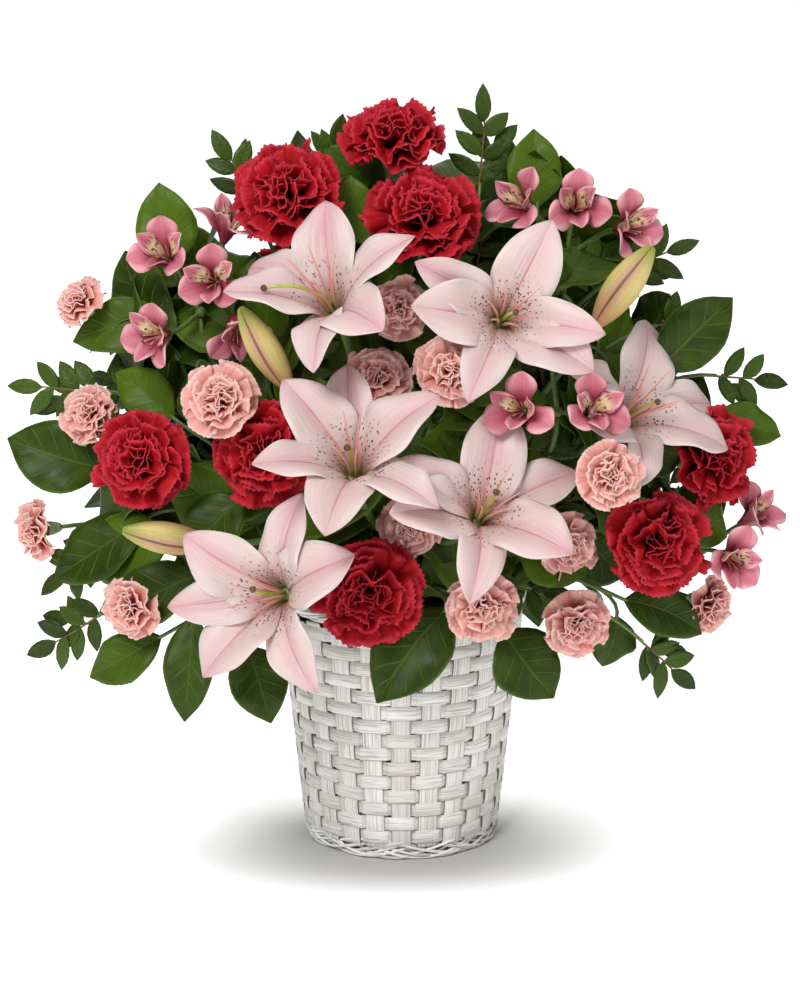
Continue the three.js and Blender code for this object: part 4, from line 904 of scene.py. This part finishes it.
# greens: leaves, sprigs, the stems of all that a bundle carries, and the cups under carnations
# leaves: base, tip, width, yaw and, for some, how light, a set tone whose dark values paint shade on leaves low at the
# front; sprigs: base, tip and yaw
greenBundles = [
    {"name": "greens_low_left", "peg": [-40, -46],
     "carries": ["lily_low_left", "spray_carnation_08", "lily_bud_low"],
     "leaves": [[[-152, -96, 196], [-159, -112, 121], 38, -10, 0.15],
                [[-178, -78, 176], [-233, -62, 140], 38, -20],
                [[-112, -110, 178], [-95, -128, 125], 43, -5, 0.1],
                [[-148, -84, 226], [-225, -60, 190], 46, -20]],
     "sprigs": [[[-225, -52, 186], [-283, -34, 147], -10]]},
    {"name": "greens_low", "peg": [0, -62],
     "carries": ["carnation_low", "spray_carnation_10", "spray_carnation_09"],
     "leaves": [[[32, -112, 206], [-18, -140, 144], 56, 0, 0.0],
                [[74, -112, 190], [111, -118, 141], 52, 12, 0.1]],
     "sprigs": []},
    {"name": "greens_low_right", "peg": [42, -50],
     "carries": ["spray_carnation_11", "carnation_low_right", "spray_carnation_13", "spray_carnation_14",
                 "spray_carnation_12"],
     "leaves": [[[84, -100, 250], [136, -96, 229], 40, 20], [[164, -84, 206], [223, -70, 176], 38, 25],
                [[160, -72, 190], [150, -66, 150], 36, 25], [[206, -62, 268], [242, -50, 245], 40, 30]],
     "sprigs": [[[176, -84, 176], [219, -68, 130], 20]]},
    {"name": "greens_middle", "peg": [-8, -28],
     "carries": ["lily_middle", "lily_middle_right"],
     "leaves": [[[-50, -88, 300], [-66, -96, 254], 44, -8]],
     "sprigs": []},
    {"name": "greens_left", "peg": [-68, -16],
     "carries": ["carnation_mid_left", "spray_carnation_03", "alstroemeria_far_left", "carnation_left",
                 "spray_carnation_02", "spray_carnation_07", "spray_carnation_01"],
     "leaves": [[[-116, -84, 284], [-159, -85, 236], 46, -20],
                [[-222, -30, 292], [-295, -20, 314], 54, -12, 0.15],
                [[-172, -24, 402], [-245, -12, 386], 42, -15], [[-190, -50, 260], [-262, -34, 208], 48, -30],
                [[-168, -52, 336], [-212, -30, 366], 36, -20], [[-150, -52, 372], [-140, -74, 330], 36, -20]],
     "sprigs": [[[-228, -24, 352], [-296, -10, 352], -8], [[-226, -44, 236], [-272, -34, 196], -18]]},
    {"name": "greens_right", "peg": [66, -8],
     "carries": ["carnation_right", "alstroemeria_right", "lily_right"],
     "leaves": [[[188, -52, 372], [244, -30, 422], 45, 18], [[236, -22, 334], [285, -12, 314], 32, 20],
                [[170, -60, 300], [206, -66, 330], 38, 30]],
     "sprigs": [[[232, -18, 362], [291, -4, 352], 12]]},
    {"name": "greens_top_left", "peg": [-36, 6],
     "carries": ["carnation_top_left", "lily_top_left", "lily_bud_left", "alstroemeria_left"],
     "leaves": [[[-170, -6, 442], [-180, 2, 503], 46, -8], [[-100, -60, 392], [-92, -66, 450], 34, -8]],
     "sprigs": [[[-112, -6, 492], [-138, 0, 545], -5], [[-52, 6, 510], [-44, 0, 556], 5]]},
    {"name": "greens_top", "peg": [0, 2],
     "carries": ["carnation_top", "carnation_top_front", "spray_carnation_04", "spray_carnation_05",
                 "spray_carnation_06"],
     "leaves": [[[-12, 4, 494], [-58, 4, 530], 36, -5], [[-28, -30, 462], [-38, -26, 512], 36, -5]],
     "sprigs": [[[58, -2, 500], [62, 0, 576], 5]]},
    {"name": "greens_top_right", "peg": [36, 14],
     "carries": ["lily_top_right", "lily_bud_right", "alstroemeria_top_right", "alstroemeria_middle"],
     "leaves": [[[101, 0, 486], [98, 10, 542], 41, 6, 0.8], [[118, -52, 430], [86, -60, 462], 36, 10],
                [[150, -40, 380], [172, -50, 350], 36, 25]],
     "sprigs": [[[168, -12, 440], [222, -6, 464], 12], [[186, -26, 400], [232, -12, 410], 20]]},
    {"name": "greens_back_left", "peg": [-44, 42],
     "carries": ["carnation_back_left", "spray_carnation_15"],
     "leaves": [[[-112, 50, 330], [-204, 56, 366], 66, -140], [[-100, 76, 268], [-152, 96, 196], 64, -145],
                [[-150, 30, 262], [-244, 26, 250], 62, -112], [[-56, 84, 430], [-62, 84, 512], 58, -168],
                [[-128, 40, 410], [-190, 36, 470], 60, -130], [[-92, 76, 206], [-124, 92, 140], 56, -140],
                [[-96, 20, 296], [-142, 22, 376], 68, -96], [[-96, 16, 222], [-156, 22, 170], 66, -96],
                [[-60, 36, 462], [-78, 40, 538], 58, -120]],
     "sprigs": [[[-176, 34, 318], [-254, 44, 322], -140]]},
    {"name": "greens_back_right", "peg": [44, 42],
     "carries": ["carnation_back_right", "spray_carnation_16"],
     "leaves": [[[112, 52, 392], [186, 52, 448], 64, 140], [[140, 46, 312], [228, 48, 338], 64, 125],
                [[108, 78, 250], [160, 96, 184], 64, 145], [[52, 88, 416], [62, 84, 498], 60, 165],
                [[160, 30, 238], [246, 26, 222], 60, 112], [[80, 80, 204], [110, 94, 136], 56, 150],
                [[100, 20, 296], [146, 22, 376], 68, 96], [[100, 16, 222], [158, 22, 170], 66, 96],
                [[60, 36, 460], [80, 40, 536], 58, 120]],
     "sprigs": [[[170, 34, 372], [242, 44, 388], 140]]},
    {"name": "greens_back", "peg": [0, 58],
     "carries": ["spray_carnation_17", "alstroemeria_back"],
     "leaves": [[[34, 90, 256], [54, 118, 180], 64, 170], [[-40, 90, 240], [-50, 118, 168], 62, -170],
                [[10, 86, 318], [52, 108, 376], 60, 175], [[-4, 66, 430], [2, 70, 514], 60, 180],
                [[2, 108, 212], [6, 126, 142], 56, 180], [[-30, 84, 340], [-64, 108, 386], 58, -170]],
     "sprigs": []},
]
leafForm = {"rows": 17, "columns": 11, "arch": 0.12, "fold": 0.24, "curl": 0.14, "waves": 2.1, "wave": 3.2,
            "swing": 0.05, "thickness": 0.6, "tilt": 22, "outline": curveThrough(
                (0, 0.06), (0.08, 0.42), (0.24, 0.88), (0.4, 1), (0.56, 0.97), (0.72, 0.78), (0.86, 0.46),
                (0.94, 0.2), (1, 0.02))}
leafletForm = leafForm | {"rows": 9, "columns": 5, "arch": 0.08, "wave": 0.4, "swing": 0.03}
sprig = {"leafLength": 28, "leafWidth": 13, "spacing": 15, "spread": 52, "rib": (1.0, 0.6), "droop": 0.006,
         "tilt": 10, "wave": 14, "sway": 0.8, "shoot": 0.58, "shootTurn": 34, "shootFrom": 45, "shootBack": 6}
stems = {"foot": 146, "first": 212, "step": 4, "lift": 0.5, "spread": 3.2, "hole": 6, "turn": 2.4,
         "taper": (1.05, 0.9), "inLeaf": 3, "under": {"lily": 19.8, "lily_bud": 0.8, "alstroemeria": 5.3},
         "radius": {"lily": 3.4, "lily_bud": 2.6, "carnation": 2.4, "spray": 1.9, "alstroemeria": 2.2, "leaf": 1.6}}
cup = {"root": 0.42, "gap": 0.8, "length": 0.5, "top": 0.24, "bottom": 0.12, "teeth": 5, "tooth": 0.12,
       "inside": 0.92, "sides": 20, "rings": 7}
# the room that leaves keep free: round a flower's axis, from how far behind its eye, and round a bud's middle
room = {"lily": (92.4, -22), "alstroemeria": (36, -14), "carnation": (1.1, -0.95), "lilyCone": 0.2, "bud": 44}
filler = {"count": 34, "tries": 420, "near": 0.36, "far": 0.86, "centre": (0, 0, 300), "reach": (262, 140, 240),
          "length": (66, 100), "width": (38, 58), "low": 196, "sprigShare": 0.3, "stray": 60, "strayDepth": 0.3,
          "outward": 0.2, "upward": 0.4, "arch": 8}


def broadLeaf(skin, place, draw):
    base, tip, width, yaw, *tone = place
    leafBlade(skin, base, tip, width, facing(yaw, leafForm["tilt"]), leafForm, draw, 0, *tone)


def leafySprig(skin, place, draw, shoot=True):
    # a twig with small leaves in pairs, and one shorter side shoot
    base, tip, yaw = place
    base, tip = np.array(base, float), np.array(tip, float)
    reach = np.linalg.norm(tip - base)
    way = unit(tip - base)
    face = facing(yaw, sprig["tilt"])
    normal = unit(face - way * face.dot(way))
    aside = np.cross(way, normal)
    last = reach - sprig["leafLength"]

    def spot(x, y):
        return base + way * y + aside * x - normal * sprig["droop"] * x * x

    along = np.linspace(-3, last + 2, 9)
    wander = np.sin(along / sprig["wave"] + draw.uniform(0, 6)) * sprig["sway"]
    twig = [spot(x, y) for x, y in zip(wander, along)]
    addTube(skin, twig, np.linspace(*sprig["rib"], len(twig)), 6, 3, draw.random())
    pairs = [(last, 0)]
    y = last - 0.6 * sprig["spacing"]
    while y > 0:
        pairs += [(y, -1), (y - draw.uniform(0, 5), 1)]
        y -= sprig["spacing"]
    for y, hand in pairs:
        turn = math.radians(hand * sprig["spread"] + draw.uniform(-7, 7))
        length = sprig["leafLength"] * draw.uniform(0.88, 1.02)
        end = (math.sin(turn) * length, y + math.cos(turn) * length)
        leafBlade(skin, spot(0, y), spot(*end), sprig["leafWidth"] * draw.uniform(0.85, 1.05),
                  normal + aside * 0.3 * draw.uniform(-1, 1), leafletForm, draw, 1)
    if shoot and reach > sprig["shootFrom"]:
        start = spot(0, draw.uniform(0.1, 0.25) * reach)
        turn = math.radians(sprig["shootTurn"]) * draw.choice((-1, 1))
        end = start + (way * math.cos(turn) + aside * math.sin(turn)) * reach * sprig["shoot"]
        leafySprig(skin, (start, end - normal * sprig["shootBack"], yaw), draw, False)


def stemEnd(place, kind):
    # where a stem meets what it carries, the way it arrives there, and its radius
    radius = stems["radius"][kind]
    if kind == "alstroemeria":
        return np.array(place["at"]) - upward * stems["under"][kind], upward, radius
    if kind == "lily_bud":
        way = unit(np.array(place["tip"]) - place["base"])
        return np.array(place["base"]) - way * stems["under"][kind], way, radius
    face = facing(place["yaw"], place["pitch"])
    back = stems["under"]["lily"] if kind == "lily" else (cup["root"] + cup["length"]) * place["radius"]
    return np.array(place["at"]) - face * back, face, radius


def calyx(skin, place, draw):
    # a carnation's cup, open at the top in five teeth
    radius = place["radius"]
    angle = np.linspace(0, 2 * np.pi, cup["sides"], endpoint=False)[None, :]
    along = np.linspace(0, 1, cup["rings"])[:, None]
    width = cup["bottom"] + (cup["top"] - cup["bottom"]) * np.sin(along * np.pi / 2) ** 0.7
    teeth = cup["tooth"] * (np.abs((angle * cup["teeth"] / np.pi) % 2 - 1)) * along ** 4
    high = -(cup["root"] + cup["length"]) * radius + (along + teeth) * cup["length"] * radius - cup["gap"]
    width = width * radius
    rings = np.stack(np.broadcast_arrays(width * np.cos(angle), width * np.sin(angle), high), -1)
    inner = rings[::-1] * (cup["inside"], cup["inside"], 1)
    first = len(skin["points"])
    where = whereOn(np.cos(angle), along, draw.random())
    addRings(skin, np.concatenate((rings, inner)), np.concatenate((where, where[::-1])), 4)
    standSkin(skin, place, first)


def addStem(skin, peg, rank, end, arriving, radius, draw):
    # from the foam straight up, then in a curve to what it carries; the stems of a bundle share one hole
    turn = stems["turn"] * rank
    aside = min(stems["spread"], stems["hole"] - radius)
    foot = np.array((peg[0] + aside * math.cos(turn), peg[1] + aside * math.sin(turn), stems["foot"]))
    top = np.array((peg[0], peg[1], stems["first"] + stems["step"] * rank), float)
    path = np.concatenate((np.linspace(foot, (foot + top) / 2, 4),
                           stemCurve(top, end, arriving, stems["lift"], 16)))
    thick, thin = stems["taper"]
    addTube(skin, path, np.linspace(radius * thick, radius * thin, len(path)), 7, 2, draw.random())


carried = {p["name"]: (p, kind) for kind, places in (
    ("lily", lilyPlaces), ("lily_bud", budPlaces), ("carnation", carnationPlaces), ("spray", sprayPlaces),
    ("alstroemeria", alstroemeriaPlaces)) for p in places}


def inFlower(spots):
    # whether a leaf would come through a flower or hide it
    for place, kind in carried.values():
        if kind == "lily_bud":
            middle = (np.array(place["base"]) + place["tip"]) / 2
            if (np.linalg.norm(spots - middle, axis=1) < room["bud"]).any():
                return True
            continue
        radius, back = room["carnation" if kind == "spray" else kind]
        if kind in ("carnation", "spray"):
            radius, back = place["radius"] * radius, place["radius"] * back
        cone = room["lilyCone"] if kind == "lily" else 0
        for head in place.get("blooms", [place]):
            face = facing(head["yaw"], head["pitch"])
            away = spots - np.array(head["at"], float)
            high = away @ face
            wide = np.linalg.norm(away - high[:, None] * face, axis=1)
            if ((wide < radius) & (high > back + cone * wide)).any():
                return True
    return False


def fillerLeaves(skin, anchors, draw):
    # leaves set back among the flowers, on a smaller dome
    centre, reach, stray = np.array(filler["centre"], float), np.array(filler["reach"], float), filler["stray"]
    made = 0
    for i in range(filler["tries"]):
        anchor = np.array([draw.uniform(-stray, stray) for k in range(3)]) * (1, filler["strayDepth"], 1)
        anchor = anchors[i % len(anchors)] + anchor
        way = unit((anchor - centre) / reach)
        base = centre + reach * way * draw.uniform(filler["near"], filler["far"])
        out = unit(way / reach)
        turn = unit(np.cross(out, unit([draw.uniform(-1, 1) for k in range(3)])))
        way = unit(turn + filler["outward"] * out + upward * filler["outward"])
        tip = base + way * draw.uniform(*filler["length"])
        width = draw.uniform(*filler["width"])
        face = out + filler["upward"] * upward
        aside = np.cross(unit(tip - base), unit(face)) * width / 2
        spots = np.array([base + (tip - base) * s + aside * a + out * filler["arch"] * (1 - a * a)
                          for s in (0.1, 0.4, 0.7, 1) for a in (-1, 0, 1)])
        if base[2] < filler["low"] or tip[2] < filler["low"] or inFlower(spots):
            continue
        if draw.random() < filler["sprigShare"]:
            leafySprig(skin, (base, tip, math.degrees(math.atan2(out[0], -out[1]))), draw, False)
        else:
            leafBlade(skin, base, tip, width, face, leafForm, draw, 0)
        made += 1
        if made == filler["count"]:
            break


def makeGreens(bundle):
    draw = random.Random(bundle["name"])
    skin = newSkin()
    ends, anchors = [], []
    for name in bundle["carries"]:
        place, kind = carried[name]
        ends.append(stemEnd(place, kind))
        anchors.append(np.array(place["at"] if "at" in place else place["base"], float))
        if kind in ("carnation", "spray"):
            calyx(skin, place, draw)
    for leaf in bundle["leaves"]:
        broadLeaf(skin, leaf, draw)
        anchors.append(np.array(leaf[0], float))
    for branch in bundle["sprigs"]:
        leafySprig(skin, branch, draw)
    for base, tip, *rest in bundle["leaves"] + bundle["sprigs"]:
        way = unit(np.array(tip) - base)
        ends.append((np.array(base) + stems["inLeaf"] * way, way, stems["radius"]["leaf"]))
    ends.sort(key=lambda end: end[0][2])
    for rank, (end, arriving, radius) in enumerate(ends):
        addStem(skin, bundle["peg"], rank, end, arriving, radius, draw)
    fillerLeaves(skin, anchors, draw)
    looks = [salalLeaf, smallLeaf, greenStem, woodyStem, calyxFinish]
    makePiece(bundle["name"] + "_leaves", skin, looks, [bundle["name"]])


for bundle in greenBundles:
    makeGreens(bundle)
print("greens made")

# basket: flat willow strips woven round flat stakes, and rings of wavy rods at the foot and rim
basket = {"height": 184, "baseRadius": 74, "rimRadius": 94, "stakes": 24, "rows": 15, "firstRow": 13, "lastRow": 181,
          "inset": 1.4, "floor": 18, "footRadius": 62.5}
basket["pitch"] = (basket["lastRow"] - basket["firstRow"]) / basket["rows"]
strip = {"height": 11.3, "heights": (0.95, 1.0), "thickness": 0.8, "weave": 0.8, "barrel": 0.02, "steps": 28,
         "crease": 13, "sag": (0.5, 0.3)}
stake = {"width": 15.4, "widths": (0.94, 1.02), "thickness": 1.0, "barrel": 0.25, "weave": 0.5, "crease": 1.5,
         "low": 10, "high": 184, "steps": 62, "lean": 0.8}
slat = {"width": 9.6, "thickness": 1.3, "barrel": 0.2, "pitch": 11.4, "each side": 5, "over": 6, "drop": 4.5,
        "weave": 1.0, "steps": 34}
rod = {"steps": 420, "sides": 8, "stray": 0.2}
# a ring of rods: its middle, how far rods stray outwards and upwards, and the waves that they make round it
rodRings = [
    {"name": "basket_foot_rods", "node": "basket_foot", "ring": 71.9, "high": 8.1, "out": 2.2, "up": 6.6, "rod": 1.15,
     "count": 14, "waves": (3, 4)},
    {"name": "basket_rim_rods", "node": "basket_rim", "ring": 91.5, "high": 188.9, "out": 2.6, "up": 2.4, "rod": 1.5,
     "count": 8, "waves": (5, 7)},
]
basketDraw = random.Random("basket")


def wallRadius(high):
    return basket["baseRadius"] + (basket["rimRadius"] - basket["baseRadius"]) * high / basket["height"]


def weaveAt(angle, row):
    # 1 where a strip passes outside a stake, -1 where it passes inside
    beat = np.cos(basket["stakes"] / 2 * angle)
    return (1 if row % 2 else -1) * np.tanh(strip["crease"] * beat) / math.tanh(strip["crease"])


def roundSection(width, thickness, barrel):
    # the outline of a flat strip's section: (outwards, upwards)
    up = np.array((-1, -0.96, 0, 0.96, 1, 0.96, 0, -0.96)) * width / 2
    out = np.array((0, 1, 1, 1, 0, -1, -1, -1)) * thickness / 2
    return out + barrel * (1 - (2 * up / width) ** 2), up


def basketStrips(skin):
    steps = basket["stakes"] * strip["steps"]
    angle = np.linspace(0, 2 * np.pi, steps, endpoint=False)
    for row in range(basket["rows"]):
        middle = basket["firstRow"] + (row + 0.5) * basket["pitch"]
        drift = basketDraw.uniform(0, 6.3)
        slow, quick = strip["sag"]
        high = middle + slow * np.sin(3 * angle + drift) + quick * np.sin(7 * angle + 2 * drift)
        height = strip["height"] * basketDraw.uniform(*strip["heights"])
        out, up = roundSection(height, strip["thickness"], strip["barrel"])
        radius = wallRadius(high) - basket["inset"] + strip["weave"] * weaveAt(angle, row)
        across = radius[:, None] + out[None, :]
        rings = np.stack((across * np.cos(angle)[:, None], across * np.sin(angle)[:, None],
                          high[:, None] + up[None, :]), -1)
        side = np.broadcast_to(2 * up / strip["height"], (steps, len(up)))
        addRings(skin, rings, whereOn(side, (angle / (2 * np.pi))[:, None], basketDraw.random()))


def basketStakes(skin):
    high = np.linspace(stake["low"], stake["high"], stake["steps"])
    share = (high - stake["low"]) / (stake["high"] - stake["low"])
    row = (high - basket["firstRow"]) / basket["pitch"] - 0.5
    for i in range(basket["stakes"]):
        angle = 2 * np.pi * i / basket["stakes"]
        beat = np.cos(np.pi * row) * (1 if i % 2 == 0 else -1)
        bend = np.tanh(stake["crease"] * beat) / math.tanh(stake["crease"])
        radius = wallRadius(high) - basket["inset"] + stake["weave"] * bend
        width = stake["width"] * basketDraw.uniform(*stake["widths"])
        aside, through = roundSection(width, stake["thickness"], stake["barrel"])
        lean = basketDraw.uniform(-stake["lean"], stake["lean"]) * np.sin(np.pi * share)
        out = np.array((math.cos(angle), math.sin(angle), 0))
        around = np.array((-math.sin(angle), math.cos(angle), 0))
        rings = ((radius[:, None] + aside[None, :])[..., None] * out
                 + (through[None, :] + lean[:, None])[..., None] * around + high[:, None, None] * upward)
        side = np.broadcast_to(2 * through / stake["width"], rings.shape[:2])
        where = whereOn(side, share[:, None], basketDraw.random())
        ends = rings[[0, -1]].mean(axis=1)
        addRings(skin, rings, where, 1, ends[0], ends[1])


def basketBottom(skin):
    # flat slats crossed over and under inside the foot
    for layer in range(2):
        for i in range(-slat["each side"], slat["each side"] + 1):
            away = i * slat["pitch"]
            half = math.sqrt(max(basket["footRadius"] ** 2 - away ** 2, 0)) + slat["over"]
            share = np.linspace(-1, 1, slat["steps"])
            beat = np.cos(np.pi * share * half / slat["pitch"] + np.pi * i) * (1 if layer else -1)
            high = basket["floor"] - slat["drop"] + slat["weave"] * beat
            out, up = roundSection(slat["width"], slat["thickness"], slat["barrel"])
            rings = np.stack(np.broadcast_arrays(
                (share * half)[:, None], away + up[None, :], high[:, None] + out[None, :]), -1)
            if layer:
                rings = rings[:, ::-1, [1, 0, 2]]
            side = np.broadcast_to(2 * up / slat["width"], rings.shape[:2])
            where = whereOn(side, (share / 2 + 0.5)[:, None], basketDraw.random())
            ends = rings[[0, -1]].mean(axis=1)
            addRings(skin, rings, where, 0, ends[0], ends[1])


def rodRing(skin, form):
    angle = np.linspace(0, 2 * np.pi, rod["steps"], endpoint=False)
    around = np.linspace(0, 2 * np.pi, rod["sides"], endpoint=False)
    for i in range(form["count"]):
        waves = form["waves"][i % 2]
        sway = waves * angle + 2 * np.pi * i / form["count"] + basketDraw.uniform(-rod["stray"], rod["stray"])
        reach = form["ring"] + form["out"] * np.sin((waves + 2) * angle + basketDraw.uniform(0, 6.3))
        high = form["high"] + form["up"] * np.sin(sway)
        path = np.stack((reach * np.cos(angle), reach * np.sin(angle), high), -1)
        way = np.roll(path, -1, axis=0) - np.roll(path, 1, axis=0)
        way /= np.linalg.norm(way, axis=1, keepdims=True)
        out = np.stack((np.cos(angle), np.sin(angle), 0 * angle), -1)
        over = np.cross(way, out)
        over /= np.linalg.norm(over, axis=1, keepdims=True)
        out = np.cross(over, way)
        rings = path[:, None] + form["rod"] * (np.cos(around)[None, :, None] * out[:, None]
                                               + np.sin(around)[None, :, None] * over[:, None])
        where = whereOn(np.cos(around)[None, :], (angle / (2 * np.pi))[:, None], basketDraw.random())
        addRings(skin, rings, where)


wall = newSkin()
basketStrips(wall)
basketStakes(wall)
basketBottom(wall)
makePiece("basket_weave", wall, [stripFinish, stakeFinish], ["basket_wall"])
for form in rodRings:
    ring = newSkin()
    rodRing(ring, form)
    makePiece(form["name"], ring, [rodFinish], [form["node"]])
print("basket made")

# the plastic pot inside, and the foam, which keeps its own solid
liner = {"wall": 1.6, "top": 183, "floor": 18.4, "inset": 8.4, "hole": 0.5, "corner": 4, "sides": 72}


def linerRadius(high):
    return wallRadius(high) - liner["inset"]


def makeLiner():
    # one closed outline, down the outside of the pot and up its inside, turned round the basket's middle
    bottom, top, corner = liner["floor"], liner["top"], linerRadius(liner["floor"]) - liner["corner"]
    outside = [(linerRadius(h), h) for h in np.linspace(bottom + 2, top - 1, 12)]
    inside = [(linerRadius(h) - liner["wall"], h) for h in np.linspace(top - 1, bottom + 4, 12)]
    profile = np.array([
        (liner["hole"], bottom), (corner, bottom), (linerRadius(bottom) - 1, bottom + 0.6), *outside,
        (linerRadius(top) - 0.8, top), *inside, (corner, bottom + 1.9), (liner["hole"], bottom + liner["wall"])])
    radius, high = profile[:, :1], profile[:, 1:]
    angle = np.linspace(0, 2 * np.pi, liner["sides"], endpoint=False)
    rings = np.stack(np.broadcast_arrays(radius * np.cos(angle), radius * np.sin(angle), high), -1)
    pot = newSkin()
    addRings(pot, rings[:, ::-1], whereOn(np.cos(angle)[None, :], np.linspace(0, 1, len(profile))[:, None], 0.5))
    makePiece("liner_pot", pot, [linerFinish], ["liner"])


makeLiner()
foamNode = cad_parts["foam"]
foamNode.data.materials.clear()
foamNode.data.materials.append(foamFinish)
print("liner and foam made")

# a pale floor that shines a little, so that it fades into a white background away from the basket; close round the
# basket it is greyer and glows less, a painted shadow
# near and far, moved by shift and squashed by shape, bound the painted shadow round the basket
floorForm = {"reach": 40, "near": 0.06, "far": 0.235, "glow": 0.65, "fade": (0.8, 4.5), "farGlow": 0.26,
             "shift": (0, 0.044, 0), "shape": (1, 1.55, 1)}
floorMaterial, tree, shader = newMaterial("paleFloor", **{"Roughness": 0.9, "Emission Strength": 1.0})
mottle = placeGroup(tree, softMottle, {"Scale": 3.0})
place = addNode(tree, "TexCoord").outputs["Object"]
place = addNode(tree, "VectorMath", {0: place, 1: floorForm["shift"]}, operation="ADD").outputs[0]
place = addNode(tree, "VectorMath", {0: place, 1: floorForm["shape"]}, operation="MULTIPLY").outputs[0]
fromBasket = addNode(tree, "VectorMath", {0: place}, operation="LENGTH").outputs["Value"]
# near: 0 in the painted shadow by the basket, 1 away from it
near = ramped(tree, fromBasket, floorForm["near"], floorForm["far"])
pale = blended(tree, mottle["Mask"], tint("f8f8f8"), tint("fbfbfb"))
# the grey c8c8c8 close to the basket is painted shadow, and so is the weaker glow there
feed(tree, shader, **{"Base Color": blended(tree, near, tint("c8c8c8"), pale)})
glow = maths(tree, "ADD", times(tree, near, floorForm["glow"]),
             ramped(tree, fromBasket, *floorForm["fade"], 0.0, floorForm["farGlow"]))
feed(tree, shader, **{"Emission Color": addNode(tree, "CombineColor", {0: glow, 1: glow, 2: glow}).outputs[0]})
floorMesh = bpy.data.meshes.new("floor")
far = floorForm["reach"]
floorMesh.from_pydata([(-far, -far, 0), (far, -far, 0), (far, far, 0), (-far, far, 0)], [], [(0, 1, 2, 3)])
floorMesh.materials.append(floorMaterial)
floor = bpy.data.objects.new("floor", floorMesh)
bpy.context.collection.objects.link(floor)

# large soft lamps, all turned to the same spot, in a dim white room
roomLight = {"color": "fbfbfc", "strength": 0.15}
lampTarget = Vector((0, 0, 0.25))
lamps = [
    {"name": "key", "at": (-0.85, -1.8, 1.9), "size": 0.9, "power": 49},
    {"name": "fill", "at": (1.7, -1.5, 0.9), "size": 1.4, "power": 9},
    {"name": "overhead", "at": (0.1, 0.1, 2.3), "size": 1.8, "power": 15},
    {"name": "behind", "at": (0.5, 2.0, 1.5), "size": 1.6, "power": 9},
]
for lamp in lamps:
    light = bpy.data.objects.new(lamp["name"], bpy.data.lights.new(lamp["name"], "AREA"))
    bpy.context.collection.objects.link(light)
    light.data.size = lamp["size"]
    light.data.energy = lamp["power"]
    light.location = lamp["at"]
    light.rotation_euler = (Vector(lamp["at"]) - lampTarget).to_track_quat("Z", "Y").to_euler()
world = bpy.data.worlds.new("softRoom")
world.use_nodes = True
background = world.node_tree.nodes["Background"].inputs
background[0].default_value = tint(roomLight["color"])
background[1].default_value = roomLight["strength"]
bpy.context.scene.world = world
bpy.context.scene.view_settings.view_transform = "Standard"
